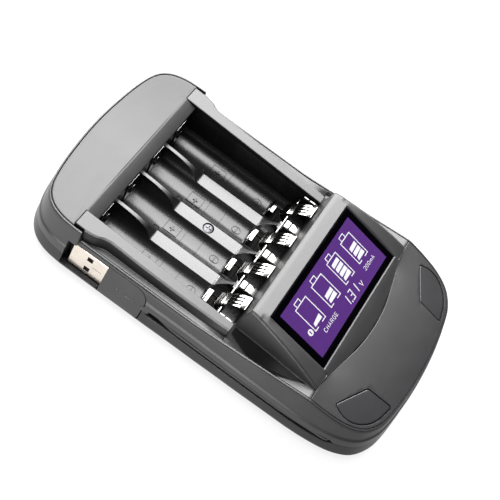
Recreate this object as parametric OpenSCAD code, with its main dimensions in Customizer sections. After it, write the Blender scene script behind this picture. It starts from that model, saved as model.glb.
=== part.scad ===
// Four-cell battery charger with a sloped display, two front keys and a
// flat-stored USB lead in its left side.
// X runs across the cells, +Y points to the back, Z is up.
// The origin is at the middle of the face it rests on.

/* [Cells] */
// Distance between two neighbouring cell channels
pitch = 16.5; // [16:0.1:16.6]
// Radius of a cell channel
chan_r = 7.5; // [7.3:0.05:7.5]
// Height of a channel's axis above the table
chan_z = 14.5; // [14.4:0.05:14.6]

/* [Shell] */
// Wall thickness of the covers
wall = 2; // [1.6:0.1:2.2]
// Height of the feet below the base
foot_h = 0.8; // [0.8:0.05:0.85]
// Gap between a cover edge and the side case
seam = 0.15; // [0.12:0.01:0.2]

/* [Display] */
// Length of the display window across the body
win_w = 57.6; // [57:0.1:57.8]
// Depth of the display window along the slope
win_d = 27.3; // [27:0.1:27.4]
// Slope of the display in degrees
win_tilt = 16.36; // [16.3:0.02:16.4]

/* [Keys] */
// Gap around each key
key_gap = 0.3; // [0.25:0.01:0.35]
// Travel of each key
key_travel = 0.5; // [0.3:0.05:0.6]

/* [Contacts] */
// Width of a spring contact for the large cells
leaf_w = 5.9; // [5:0.1:6.2]
// Width of a spring contact for the small cells
tab_w = 5.7; // [5:0.1:5.8]
// Sheet thickness of the contacts
leaf_t = 0.4; // [0.3:0.05:0.4]

/* [Lead] */
// Diameter of the stored lead
lead_d = 2; // [1.8:0.05:2]
// Height of the lead's axis
lead_z = 9.05; // [9:0.01:9.1]

/* [Hidden] */
eps = 0.01;

// half outlines, right side, from the back centre round to the front centre
// HT follows the upper seam, HB the widest line low on the wall
HT = [[0,78.2],[12,77.7],[24,76.4],[33,74.2],[38,70.4],[40.6,64.5],[41.4,57],
      [41.4,54.4],[41.4,53.6],[41.4,46],[41.4,34],[41.4,22],[41.4,18],[41.4,8],[41.4,3],
      [41.4,-5],[41.4,-13],[41.4,-21],[41.4,-29],[41.4,-37],[41.4,-45.3],
      [40.9,-53],[39.4,-61.5],[36,-68.4],[30.5,-72.6],[24,-74.6],[12,-76.2],[0,-76.7]];
HB = [[0,80.25],[12.4,79.8],[25.4,78.6],[35.6,76.2],[41.8,71.8],[45,65.4],[46.1,57],
      [46.1,54.4],[46.1,53.6],[46.1,46],[46.1,34],[46.1,22],[46.1,18],[46,8],[46,3],
      [46,-5],[45.9,-13],[45.9,-21],[45.8,-29],[45.7,-37],[45.6,-45.3],
      [45,-54],[43.4,-63.6],[39.9,-71.2],[33.8,-75.9],[26.4,-78.2],[13,-79.8],[0,-80.25]];
LAST = len(HT) - 1;
S0 = 6;      // first straight index
S1 = 20;     // last straight index

function lerp(a, b, t) = a + (b - a) * t;
function cr(a, b, c, d, t) = 0.5 * ((2*b) + (c - a)*t + (2*a - 5*b + 4*c - d)*t*t + (3*b - a - 3*c + d)*t*t*t);
function mir(p) = [-p[0], p[1]];
function at(H, i) = i < 0 ? mir(H[-i]) : i > LAST ? mir(H[2*LAST - i]) : H[i];
function half(H) = [for (i = [0:LAST-1]) let (n = (i >= S0 && i < S1) ? 1 : 3)
    for (k = [0:n-1]) (n == 1) ? H[i] :
      cr(i == S1 ? 2*H[i] - H[i+1] * 0.5 - H[i] * 0.5 + [0, 4] : at(H, i-1), at(H, i), at(H, i+1), i == S0-1 ? H[i+1] - [0, 6] : at(H, i+2), k / n)];
function full(H) = let (h = half(H), n = len(h)) concat(h, [H[LAST]], [for (i = [n-1:-1:1]) mir(h[i])]);
BOARD_POSTS = [[-21.5, -65.2], [21.5, -65.2], [-33, -16], [33, -16]];
TO = full(HT);
BO = full(HB);
NST = len(TO);

// heights of the upper surfaces
function z_cap(x, y) = 25 - 0.5 * pow(x / 41, 2);
function z_front(x, y) = 24.9 + 0.224 * (y + 49.3) - 1.2 * pow(x / 41, 2);
function z_edge(p) = p[1] >= 54 ? z_cap(p[0], p[1]) :
   p[1] > 3 ? 18.9 : p[1] > -45.2 ? 18.9 + 0.1174 * (3 - p[1]) : z_front(p[0], p[1]);
function unit(v) = v / norm(v);
function nrm(i) = unit(BO[i] - TO[i]);
// outward distance of the wall at height z, measured from the seam line
function off(i, z) = norm(BO[i] - TO[i]) * (z_edge(TO[i]) - z) / (z_edge(TO[i]) - 3.5);
function wp(i, d, z) = let (p = TO[i] + nrm(i) * d) [p[0], p[1], z];
function inset(d) = [for (i = [0:NST-1]) TO[i] - nrm(i) * d];
function binset(d) = [for (i = [0:NST-1]) BO[i] - nrm(i) * d];
// the lead groove lies along the left side
function groove(i) = TO[i][0] < 0 && TO[i][1] < 23 && TO[i][1] > -62.5;
function lip(i) = groove(i) ? 7.75 : 8.9;
// width of the lip round the covers
lip_w = 0.65;
// width of the inner ledge that carries the covers
function led(i) = TO[i][1] > -46 && TO[i][1] < 61.5 ? 0.75 : 2.8;
function case_bot(i) = groove(i) ? 10.45 : 9.1;

// closed ring from one section polygon at each station
module ring(sec) {
  n = len(sec); m = len(sec[0]);
  polyhedron(points = [for (s = sec) for (p = s) p],
    faces = [for (i = [0:n-1]) for (j = [0:m-1]) let (a = i*m + j, b = i*m + (j+1)%m, c = ((i+1)%n)*m + (j+1)%m, d = ((i+1)%n)*m + j)
      each [[a, b, c], [a, c, d]]], convexity = 12);
}
// sheet between an upper grid O and a lower grid I of the same size
module sheet(O, I) {
  n = len(O); m = len(O[0]); k = n * m;
  polyhedron(points = concat([for (s = O) for (p = s) p], [for (s = I) for (p = s) p]),
    faces = concat(
      [for (i = [0:n-2]) for (j = [0:m-2]) let (a = i*m+j, b = a+1, c = a+m+1, d = a+m) each [[a,b,c],[a,c,d]]],
      [for (i = [0:n-2]) for (j = [0:m-2]) let (a = k+i*m+j, b = a+1, c = a+m+1, d = a+m) each [[a,c,b],[a,d,c]]],
      [for (j = [0:m-2]) each [[j+1, j, k+j], [j+1, k+j, k+j+1]]],
      [for (j = [0:m-2]) let (a = (n-1)*m+j) each [[a, a+1, k+a+1], [a, k+a+1, k+a]]],
      [for (i = [0:n-2]) let (a = i*m, d = a+m) each [[a, d, k+d], [a, k+d, k+a]]],
      [for (i = [0:n-2]) let (a = i*m+m-1, d = a+m) each [[a, k+a, k+d], [a, k+d, d]]]), convexity = 12);
}

// ---------------------------------------------------------------- plug frame
plug_tilt = 10.4;
module plug_frame() { translate([-43, 0, 10.3]) rotate([0, plug_tilt, 0]) children(); }
// rounded block of the plug's grip, grown by g, in body coordinates
module grip_block(g, out) {
  hull() {
    // outer face, follows the side wall
    for (q = [[24 - g, 3.2 + 2 - g], [41.3 + g - 1, 2.2 + 1 - g]]) translate([-46.1 - out + (out > 0 ? -0.6 : 0), q[0] + (q[0] < 30 ? 0 : 0), q[1]]) rotate([0, 90, 0]) cylinder(r = q[0] < 30 ? 2 : 1, h = 0.6, $fn = 24);
    translate([-42.2 - out, 28.4 - g, 17.4 + g - 6]) rotate([0, 90, 0]) cylinder(r = 6, h = 0.5, $fn = 32);
    translate([-42.2 - out, 40.3 + g, 17.4 + g - 1]) rotate([0, 90, 0]) cylinder(r = 1, h = 0.5, $fn = 24);
    // inner face
    for (q = [[24 - g, 5 - g, 2], [40.3 + g, 4 - g, 1]]) translate([-38.3 + g - 0.4, q[0], q[1]]) rotate([0, 90, 0]) cylinder(r = q[2], h = 0.4, $fn = 24);
    translate([-39.6 + g - 0.4, 28.4 - g, 17.4 + g - 6]) rotate([0, 90, 0]) cylinder(r = 6, h = 0.4, $fn = 32);
    translate([-39.6 + g - 0.4, 40.3 + g, 17.4 + g - 1]) rotate([0, 90, 0]) cylinder(r = 1, h = 0.4, $fn = 24);
  }
}
module plug_pocket() {
  grip_block(0.4, 4);
  // space around the metal end, open to the side
  plug_frame() translate([-9, 40.5, -6.6]) cube([14.2, 17, 13.3]);
}

// ---------------------------------------------------------------- shells
module base_shell() { color([0.27, 0.27, 0.28]) {
  difference() {
    union() {
      ring([for (i = [0:NST-1]) [
        wp(i, off(i, lip(i)), lip(i)), wp(i, off(i, 3.5), 3.5), wp(i, off(i, 3.5) - 0.5, 2), wp(i, off(i, 3.5) - 1.5, foot_h + 0.25),
        wp(i, off(i, 3.5) - 3.2, foot_h), wp(i, off(i, 3.5) - 3.2, foot_h + 2), wp(i, off(i, 3.5) - 2.2, 4.2), wp(i, off(i, 7.75) - 2, lip(i))]]);
      translate([0, 0, foot_h]) linear_extrude(2) polygon(binset(3.1));
      // back wall of the lead groove
      translate([-41.1, -54.6, foot_h + 1]) cube([0.6, 74.6, 10]);
      translate([-41.1, -54.6, foot_h + 1]) cube([1.9, 0.6, 10]);
      translate([-39.8, -60, foot_h + 1]) cube([0.6, 6, 9.4]);
      // pocket wall behind the plug
      translate([-36.9, 19.6, foot_h + 1]) cube([0.9, 38.4, 13.6]);
      translate([-41.1, 19.4, foot_h + 1]) cube([5, 1.2, 10]);
      translate([-43.4, 57.2, foot_h + 1]) cube([7.3, 1.2, 7]);
      // posts for the board and the tray
      for (p = BOARD_POSTS) translate([p[0], p[1], foot_h + 1]) cylinder(r = 2.8, h = 6.15, $fn = 40);
      for (p = [[-28, 62], [28, 62], [-36.6, -50.6], [36.6, -50.6]]) translate([p[0], p[1], foot_h + 1]) cylinder(r = 3, h = 8, $fn = 40);
      for (x = [-16.5, 16.5]) translate([x, 20, foot_h + 1]) cylinder(r = 2.6, h = 2.75, $fn = 40);
      translate([0, 21.3, foot_h + 1]) cylinder(r = 2.8, h = 2.75, $fn = 40);
      // sleeve round the lead bushing
      translate([-39.2, -63.1, foot_h + 1]) cube([2.9, 5.2, 9.8]);
    }
    plug_pocket();
    for (p = BOARD_POSTS) translate([p[0], p[1], foot_h + 2.4]) cylinder(r = 0.95, h = 8, $fn = 32);
    translate([0, 21.3, foot_h + 1]) cylinder(r = 1.15, h = 8, $fn = 32);
    // counterbores and shank holes of the case screws
    for (p = [[-28, 62], [28, 62], [-36.6, -50.6], [36.6, -50.6]]) { translate([p[0], p[1], foot_h - 1]) cylinder(r = 2.4, h = 2.6, $fn = 40);
      translate([p[0], p[1], foot_h]) cylinder(r = 1.3, h = 12, $fn = 32); }
    // shallow seats of the feet
    for (x = [-33, 33], y = [-68, 70]) translate([x, y, foot_h - 1]) cylinder(r = 4.6, h = 1.4, $fn = 48);
    // hole for the lead bushing
    translate([-42, -60.5, lead_z]) rotate([0, 90, 0]) cylinder(r = 1.72, h = 6, $fn = 32);
    // way of the lead into the bushing
    translate([-43.6, -62.3, lead_z - 1.3]) cube([2.6, 3.6, 2.7]);
    // air slots under the channels
    for (x = [-24:4:24]) translate([x - 0.8, 26, foot_h - 1]) cube([1.6, 22, 4]);
  }
} }
module side_case() { color([0.37, 0.37, 0.38]) difference() {
  union() {
    ring([for (i = [0:NST-1]) let (zt = z_edge(TO[i]), zb = case_bot(i)) [
      wp(i, -lip_w, zt - 0.1), wp(i, -0.2, zt), wp(i, off(i, zt - 0.8), zt - 0.8), wp(i, off(i, 13.6) + 0.1, 13.6), wp(i, off(i, 12.6) + 0.55, 12.6),
      wp(i, off(i, 9.9) + 0.15, zb), wp(i, off(i, 9.9) - 2, zb), wp(i, off(i, 13.6) - 2, 13.6), wp(i, -0.8, min(16, zt - 4.3)), wp(i, -led(i), zt - 3.4), wp(i, -led(i), zt - 2.25), wp(i, -lip_w, zt - 2.25)]]);
    // small finger over the end of the groove
    hull() { translate([-44.3, 19.2, 11.4]) rotate([0, 90, 0]) cylinder(r = 0.9, h = 2.4, $fn = 24);
             translate([-44.3, 20.85, 11.4]) rotate([0, 90, 0]) cylinder(r = 0.9, h = 2.4, $fn = 24);
             translate([-43.6, 18.3, 13.2]) cube([1.6, 3.43, 0.6]); }
  }
  plug_pocket();
  // room for the bosses of the front cover
  for (x = [-36.6, 36.6]) translate([x, -50.6, 9.5]) cylinder(r = 2.5, h = 13, $fn = 40);
  // room for the flanges of the keys
  for (s = [0, 1]) mirror([s, 0, 0]) translate([0, 0, 13.7]) linear_extrude(12) intersection() { key2d(1.5); polygon(inset(1.32)); }
} }

module cap_region(d) { intersection() { polygon(inset(lip_w + d)); translate([-60, 58.35 + d - seam]) square([120, 40]); } }
module rear_cover() { color([0.55, 0.54, 0.54]) {
  difference() {
    intersection() {
      translate([0, 0, 15]) linear_extrude(12) cap_region(seam);
      translate([0, 90, 25 - 1680]) rotate([90, 0, 0]) cylinder(r = 1680, h = 60, $fn = 2000);
    }
    intersection() {
      translate([0, 0, 14]) linear_extrude(12) intersection() { polygon(inset(1.3 + seam + 1.6)); translate([-60, 60]) square([120, 40]); }
      translate([0, 91, 25 - 1680 - wall]) rotate([90, 0, 0]) cylinder(r = 1680, h = 62, $fn = 2000);
    }
    // lower edge of the skirt
    translate([0, 92, 25 - 1680 - wall - 0.12]) rotate([90, 0, 0]) cylinder(r = 1680, h = 64, $fn = 2000);
  }
  // sloped lip over the back of the bay
  translate([-32.6, 0, 0]) rotate([90, 0, 90]) linear_extrude(65.2) polygon([[53.8, 23.1], [58.6, 24.85], [58.6, 22.6], [53.8, 21.4]]);
  // bosses for the rear case screws
  for (x = [-28, 28]) translate([x, 62, 0]) difference() { translate([0, 0, foot_h + 9.1]) cylinder(r = 2.8, h = 14, $fn = 40);
    translate([0, 0, foot_h + 8]) cylinder(r = 0.95, h = 10, $fn = 32); }
} }

// ---------------------------------------------------------------- top frame
function z_rim(y) = 25 - 0.06 * (58.5 - y);
XL = 41.4 - lip_w - 0.15;
// [y, rail outer x, wall foot x, wall foot z, ledge outer z]
RS = [[58.2,39.4,39.7,22.9,21.8],[54.35,39.4,39.7,22.9,21.8],[54,39.3,40.2,18.6,17.9],[52,39,40.2,18.3,18.4],[50.5,38.7,40,18.4,18.65],
      [49,38.3,39.7,18.55,18.75],[47.5,37.5,39.1,18.62,18.75],[46,37,38.5,18.65,18.75],[44,36.7,38.15,18.65,18.75],[30,36.8,38.4,18.65,18.75],
      [14,36.6,38.5,18.65,18.75],[3,36.2,38.5,18.65,18.75],[-4,36,38.4,18.6,19.5],[-7.9,35.7,38.4,18.2,19.93]];
function rail_o(r) = let (z = z_rim(r[0])) [[32.75, r[0], z], [33.9, r[0], z], [r[1] - 0.5, r[0], z], [r[1], r[0], z - 0.4], [r[2], r[0], r[3]], [(r[2]+XL)/2, r[0], lerp(r[3], r[4], 0.4)], [XL, r[0], r[4]]];
function rail_i(r) = let (z = z_rim(r[0])) [[32.75, r[0], z - wall], [33.1, r[0], z - wall], [min(r[1], 37.6) - 1.35, r[0], z - wall], [min(r[1], 37.9) - 1.2, r[0], z - wall - 0.4], [min(r[2], 38) - 1.6, r[0], r[3] - 1], [(r[2]+XL)/2, r[0], max(lerp(r[3], r[4], 0.4) - 0.95, 17.3)], [XL, r[0], max(r[4] - 0.95, 17.3)]];
function flip(G) = [for (s = G) [for (j = [len(s)-1:-1:0]) [-s[j][0], s[j][1], s[j][2]]]];
// display slope
function z_disp(y) = 26.68 + 0.2936 * (y + 43.33);
// [y at top, y low, top edge x, top edge z, crown z, side foot x, side foot z, wall foot x, wall foot z]
HS = [[-10.1,-8.2,31.8,33.9,34.2,33.3,21,38.4,17.9],
      [-12,-12,32.1,34.1,34.6,33.5,21.2,38.9,18.2],
      [-16.4,-16.4,32.7,33.7,34.6,34,21.8,39.4,18.8],
      [-21,-21,33.4,32.5,33.3,34.5,22.3,39.5,19.4],
      [-26,-26,34.1,31.1,31.9,35,22.7,39.4,20],
      [-32,-32,34.9,29.3,30.1,35.7,23.3,38.9,20.8],
      [-38,-38,35.8,27.4,28.4,36.3,23.8,37.9,22],
      [-42,-42,36.4,26,27.1,36.7,24.2,37.1,23.2],
      [-46.4,-46.4,37,24.6,25.8,37.1,24.2,37.4,24]];
function zl(y) = 18.9 + 0.1174 * (3 - min(y, 3)) - 0.15;
function hs_o(h) = [[29.5, h[0], h[4] - 0.5], [h[2] - 0.7, h[0], lerp(h[3], h[4], 0.25)], [h[2], h[0], h[3] - 0.4],
   [h[5], h[1], h[6]], [h[7], h[1], h[8]], [(h[7]+XL)/2, h[1], lerp(h[8], zl(h[1]), 0.4)], [XL, h[1], zl(h[1])]];
function hs_i(h) = let (b = h[0] > -11 ? 1.4 : 0) [[29.3, h[0] - b, h[4] - 2.7], [h[2] - 2.6, h[0] - b, h[3] - 2.2], [h[2] - 2.2, h[0] - b, h[3] - 2.9],
   [h[5] - 2, h[1] - b * 0.7, h[6] - 1.2], [h[7] - 1.6, h[1], h[8] - 1.3], [(h[7]+XL)/2, h[1], lerp(h[8], zl(h[1]), 0.4) - 1.5], [XL, h[1], zl(h[1]) - 1.5]];
// plan line where the display slope meets the front cover
FRONT = [[45,-45.45],[37.2,-45.3],[34,-45.35],[29,-46.35],[24,-47.5],[18.5,-48.75],[12,-50.2],[6,-51],[0,-51.25]];
function front_line(d) = concat([for (p = FRONT) p + [0, d]], [for (i = [len(FRONT)-2:-1:0]) [-FRONT[i][0], FRONT[i][1] + d]]);
module window_frame() { translate([0, -30.06, 30.575]) rotate([win_tilt, 0, 0]) children(); }
module top_frame() { color([0.5, 0.5, 0.5]) {
  difference() {
    union() {
      // rail, ledge and side of the display housing in one run
      sheet(concat([for (r = RS) rail_o(r)], [for (h = HS) hs_o(h)]), concat([for (r = RS) rail_i(r)], [for (h = HS) hs_i(h)]));
      sheet(flip(concat([for (r = RS) rail_o(r)], [for (h = HS) hs_o(h)])), flip(concat([for (r = RS) rail_i(r)], [for (h = HS) hs_i(h)])));
      // display slope, crown and rear wall of the housing
      intersection() {
        translate([-34, 0, 0]) rotate([90, 0, 90]) linear_extrude(68) polygon([[-8.9, 19.7], [-9, 25.3], [-10.35, 33.7], [-11, 34.3], [-12.6, 34.6], [-16.6, 34.55], [-51, z_disp(-51)], [-51, z_disp(-51) - 1.9], [-17, 32.1], [-13, 32.1], [-12, 31.6], [-10.9, 25.3], [-10.8, 19.7]]);
        rotate([90, 0, 0]) linear_extrude(60) polygon([[-32.3, 19], [32.3, 19], [32.3, 25.6], [30, 33], [30, 40], [-30, 40], [-30, 33], [-32.3, 25.6]]);
      }
    }
    // opening and seat of the window
    window_frame() translate([-29, -13.82, -1.72]) cube([58, 27.64, 6]);
    window_frame() translate([-27.3, -12.1, -8]) cube([54.6, 24.2, 10]);
    // trim to the front line
    translate([0, 0, 10]) linear_extrude(30) polygon(concat([[-60, -70], [60, -70], [60, -45.25]], front_line(0.2)));
  }
} }

// ---------------------------------------------------------------- front cover
module slope_cyl(d) { translate([0, -49.3, 24.9 - d]) rotate([12.63, 0, 0]) translate([0, 60, 0]) rotate([90, 0, 0]) linear_extrude(140)
  polygon(concat([[48, -30]], [for (x = [48:-6:-48]) [x, -1.2 * pow(x / 41, 2)]], [[-48, -30]])); }
// key outline, right side
KEY = [[21.6,-72.6],[22.4,-61.4],[35.6,-54],[37.2,-58.5],[36.6,-63.2],[33.6,-67.6],[29,-70.6]];
module key2d(g) { offset(delta = g) polygon(KEY); }
module front_plan(d) { difference() { polygon(inset(lip_w + d)); polygon(concat([[60, 90], [60, -45.35]], front_line(0), [[-60, -45.35], [-60, 90]])); } }
module front_cover() { color([0.33, 0.33, 0.34]) {
  difference() {
    intersection() { translate([0, 0, 10]) linear_extrude(20) front_plan(seam); slope_cyl(0); }
    intersection() { translate([0, 0, 9]) linear_extrude(20) intersection() { polygon(inset(1.3 + seam + 1.7)); translate([-60, -120]) square([120, 73.2]); } slope_cyl(wall); }
    // lower edge of the skirt follows the slope
    slope_cyl(wall + 0.12);
    for (s = [0, 1]) mirror([s, 0, 0]) translate([0, 0, 10]) linear_extrude(20) key2d(key_gap);
  }
  // bosses for the front case screws
  for (x = [-36.6, 36.6]) intersection() { translate([x, -50.6, 0]) difference() { translate([0, 0, foot_h + 9.1]) cylinder(r = 1.9, h = 14, $fn = 40);
    translate([0, 0, foot_h + 8]) cylinder(r = 0.95, h = 10, $fn = 32); } slope_cyl(wall - 0.3); translate([x - 5, -55.6, 0]) cube([10, 10, 40]); }
} }

// ---------------------------------------------------------------- keys
module key_cap(s) { mirror([s, 0, 0]) {
  intersection() { translate([0, 0, 12]) linear_extrude(16) polygon(KEY); difference() { slope_cyl(0.05); slope_cyl(wall + 1.2); } }
  // flange held under the cover
  intersection() { translate([0, 0, 12]) linear_extrude(16) intersection() { offset(delta = 1) polygon(KEY); polygon(inset(1.3 + seam + 1.7 + 0.25)); } difference() { slope_cyl(wall + 0.15); slope_cyl(wall + 1.2); } }
  translate([29.5, -63, 14.75]) cylinder(r = 1.8, h = 4.5, $fn = 32);
} }
module button_left() { color([0.35, 0.35, 0.36]) key_cap(1); }
module button_right() { color([0.35, 0.35, 0.36]) key_cap(0); }
module switch_body(x) { translate([x, -63, 9.6]) difference() { union() { translate([-3, -3, 0]) cube([6, 6, 3.5]); for (sx = [-1, 1], sy = [-1, 1]) translate([sx * 3.5 - 0.5, sy * 2 - 0.35, 0]) cube([1, 0.7, 0.5]); }
  translate([0, 0, 2.2]) cylinder(r = 1.8, h = 3, $fn = 32); } }
module switch_left() { color([0.12, 0.12, 0.13]) switch_body(-29.5); }
module switch_right() { color([0.12, 0.12, 0.13]) switch_body(29.5); }
module plunger(x) { translate([x, -63, 12.4]) cylinder(r = 1.75, h = 2.35, $fn = 32); }
module plunger_left() { color([0.75, 0.2, 0.15]) plunger(-29.5); }
module plunger_right() { color([0.75, 0.2, 0.15]) plunger(29.5); }

// ---------------------------------------------------------------- battery tray
module tray_under_rims() { rotate([90, 0, 90]) linear_extrude(90, center = true)
  polygon([[-30, 0], [70, 0], [70, 21.2], [53.6, 21.2], [53.6, z_rim(53.6) - 2.1], [-7.7, z_rim(-8.1) - 2.1], [-7.7, 16.2], [-30, 16.2]]); }
module battery_tray() { color([0.09, 0.09, 0.1]) {
  difference() {
    union() {
      // floor with its channels
      difference() {
        union() {
          translate([-34.2, -11, 4.6]) cube([68.4, 67, 4.9]);
          // dividers: ramp at the front, fin at the back
          for (x = [-pitch, 0, pitch]) translate([x - 4.2, 0, 0]) rotate([90, 0, 90]) linear_extrude(8.4)
            polygon([[-8.2, 5], [-8.2, 19.2], [-1.5, 19.2], [-1.5, 16.1], [-0.3, 16.1], [-0.2, 16.5], [6.7, 9.5], [36, 9.5], [37.5, 10.6], [39.5, 11.8], [42, 12.7], [45.5, 13.5], [49.5, 14.1], [54, 14.4], [54, 5]]);
        }
        for (i = [-1.5:1:1.5]) {
          translate([i * pitch, -0.2, chan_z]) rotate([-90, 0, 0]) cylinder(r = chan_r, h = 54.1, $fn = 96);
          // room for the spring contacts
          translate([i * pitch - 6.4, -8.2, 5.8]) cube([12.8, 8.1, 20]);
          translate([i * pitch - 3.4, -1, 5.8]) cube([6.8, 9, 6]);
        }
        for (i = [-1.5:1:1.5]) translate([i * pitch - 3.6, 52.6, 7.6]) cube([7.2, 1.5, 3]);
      }
      // side walls, back wall, front wall
      intersection() {
        union() {
          for (s = [-1, 1]) translate([s * 33.475 - 0.725, -11, 4.6]) cube([1.45, 67, 20]);
          translate([-34.2, 53.9, 4.6]) cube([68.4, 2.1, 18]);
          translate([-34.2, -11, 4.6]) cube([68.4, 1.6, 19]);
        }
        tray_under_rims();
      }
      translate([-30.6, -11, 4.6]) cube([61.2, 1.6, 14.8]);
      // posts at the ends of the contact row
      for (s = [-1, 1]) translate([s * 32.1 - 0.65, -7.7, 4.6]) cube([1.3, 6.2, 14.6]);
    }
    // screw hole in the middle divider
    translate([0, 21.3, 0]) cylinder(r = 1.25, h = 20, $fn = 32);
    translate([0, 21.3, 7.4]) cylinder(r = 2.3, h = 5, $fn = 48);
  }
} }
module tray_screw() { color([0.2, 0.2, 0.22]) translate([0, 21.3, 0]) difference() {
  union() { translate([0, 0, 7.4]) cylinder(r = 2.15, h = 1.7, $fn = 48); translate([0, 0, 3.2]) cylinder(r = 1.1, h = 4.3, $fn = 32); }
  for (a = [0, 90]) translate([0, 0, 8.9]) rotate([0, 0, a]) cube([2.6, 0.55, 1.2], center = true); } }

// ---------------------------------------------------------------- display parts
module display_window() { color([0.25, 0.12, 0.4]) window_frame() translate([-win_w/2, -win_d/2, -1.7]) cube([win_w, win_d, 1.3]); }
module lcd_panel() { color([0.35, 0.2, 0.55]) window_frame() translate([-27, -11.9, -4.3]) cube([54, 23.8, 2.4]); }
module backlight() { color([0.85, 0.85, 0.9]) window_frame() translate([-26.6, -11.5, -6]) cube([53.2, 23, 1.7]); }
module lcd_holder() { color([0.8, 0.8, 0.8]) window_frame() difference() {
  translate([-28.4, -13.2, -7.2]) cube([56.8, 26.4, 4.7]);
  translate([-27.05, -11.95, -6]) cube([54.1, 23.9, 6]);
  translate([-20, -9, -8]) cube([40, 18, 3]); } }
module lcd_ribbon() { color([0.75, 0.5, 0.2]) for (k = [-7:7]) translate([k * 1.2 - 0.3, 0, 0]) rotate([90, 0, 90]) linear_extrude(0.6)
  polygon([[-36.2, 9.6], [-35.8, 9.6], [-35.8, 12], [-38.6, 20.55], [-39, 20.4], [-36.2, 11.9]]); }
module main_board() { color([0.05, 0.35, 0.2]) difference() {
  union() { translate([0, 0, 7.95]) linear_extrude(1.6) polygon([[-36, -12.5], [36, -12.5], [36, -58], [33.5, -63], [29, -68.5], [-29, -68.5], [-33.5, -63], [-36, -58]]); }
  for (p = BOARD_POSTS) translate([p[0], p[1], 7]) cylinder(r = 1.25, h = 4, $fn = 32);
  for (x = [-36.6, 36.6]) translate([x, -50.6, 7]) cylinder(r = 3.6, h = 4, $fn = 40);
  translate([-38, -64.5, 7]) cube([4.2, 8, 4]); } }
module board_screws() { color([0.75, 0.75, 0.78]) for (p = BOARD_POSTS) translate([p[0], p[1], 0]) {
  translate([0, 0, 9.6]) cylinder(r = 2.1, h = 1.3, $fn = 40); translate([0, 0, 4.4]) cylinder(r = 0.9, h = 5.3, $fn = 32); } }
module control_chip() { color([0.1, 0.1, 0.1]) { translate([-6, -59, 9.85]) cube([12, 12, 1.6]);
  for (a = [0:90:270]) translate([0, -53, 9.6]) rotate([0, 0, a]) for (k = [-4:4]) translate([k * 1.2 - 0.25, 5.9, 0]) cube([0.5, 1.2, 0.9]); } }
module inductors() { color([0.15, 0.15, 0.16]) for (x = [-24, 24]) translate([x, -26, 9.6]) { difference() { cylinder(r = 5, h = 4, $fn = 48); translate([0, 0, 0.8]) difference() { cylinder(r = 6, h = 2.4, $fn = 48); cylinder(r = 3.4, h = 2.4, $fn = 48); } } } }
module capacitors() { color([0.2, 0.25, 0.45]) for (p = [[-12, -24], [12, -24], [-14, -62]]) translate([p[0], p[1], 9.6]) difference() { cylinder(r = 3.1, h = 7, $fn = 48); translate([0, 0, 6]) difference() { cylinder(r = 3.2, h = 0.5, $fn = 48); cylinder(r = 2.8, h = 0.5, $fn = 48); } } }
module charge_transistors() { color([0.12, 0.12, 0.12]) for (i = [-1.5:1:1.5]) translate([i * 9 - 2.5, -43.5, 9.6]) { cube([5, 4, 1.6]); for (k = [0.4:1.3:4.3]) translate([k, -0.8, 0]) cube([0.5, 5.6, 0.4]); } }

// ---------------------------------------------------------------- contacts
module positive_contact(i) { color([0.85, 0.83, 0.78]) translate([i * pitch, 0, 0]) {
  difference() { translate([-3.5, 53.45, 7.75]) cube([7, 0.4, 12.2]); for (s = [-1, 1]) translate([s * 2.6, 53, 18.6]) rotate([-90, 0, 0]) cylinder(r = 0.4, h = 2, $fn = 16); }
  translate([0, 52.4, 13.7]) rotate([-90, 0, 0]) cylinder(r = 2.2, h = 1.1, $fn = 40); } }
module positive_contact_1() positive_contact(-1.5);
module positive_contact_2() positive_contact(-0.5);
module positive_contact_3() positive_contact(0.5);
module positive_contact_4() positive_contact(1.5);
// sprung contact for the large cells: bends over the rail, then leans back
LEAF = [[0.25,6.6],[0.25,9.5],[1,11.5],[2.05,13.2],[1.9,14.4],[0.75,16],[0.35,17.1],[-0.35,17.75],[-1.6,18.9],[-3.8,21.7],[-8,24.5]];
function offs(P, d) = [for (i = [0:len(P)-1]) let (a = P[max(i-1, 0)], b = P[min(i+1, len(P)-1)], u = unit(b - a)) P[i] + [u[1], -u[0]] * d];
module strip(P, w, t) { translate([-w/2, 0, 0]) rotate([90, 0, 90]) linear_extrude(w) polygon(concat(offs(P, t/2), [for (i = [len(P)-1:-1:0]) offs(P, -t/2)[i]])); }
module aa_contact(i) { color([0.88, 0.88, 0.86]) translate([i * pitch, 0, 0]) difference() {
  strip(LEAF, leaf_w, leaf_t);
  // slits between the fingers of the upper end
  for (k = [-1, 0, 1]) translate([k * leaf_w / 4 - 0.12, -9, 22.6]) cube([0.24, 5, 3]); } }
module aa_contact_1() aa_contact(-1.5);
module aa_contact_2() aa_contact(-0.5);
module aa_contact_3() aa_contact(0.5);
module aa_contact_4() aa_contact(1.5);
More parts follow.
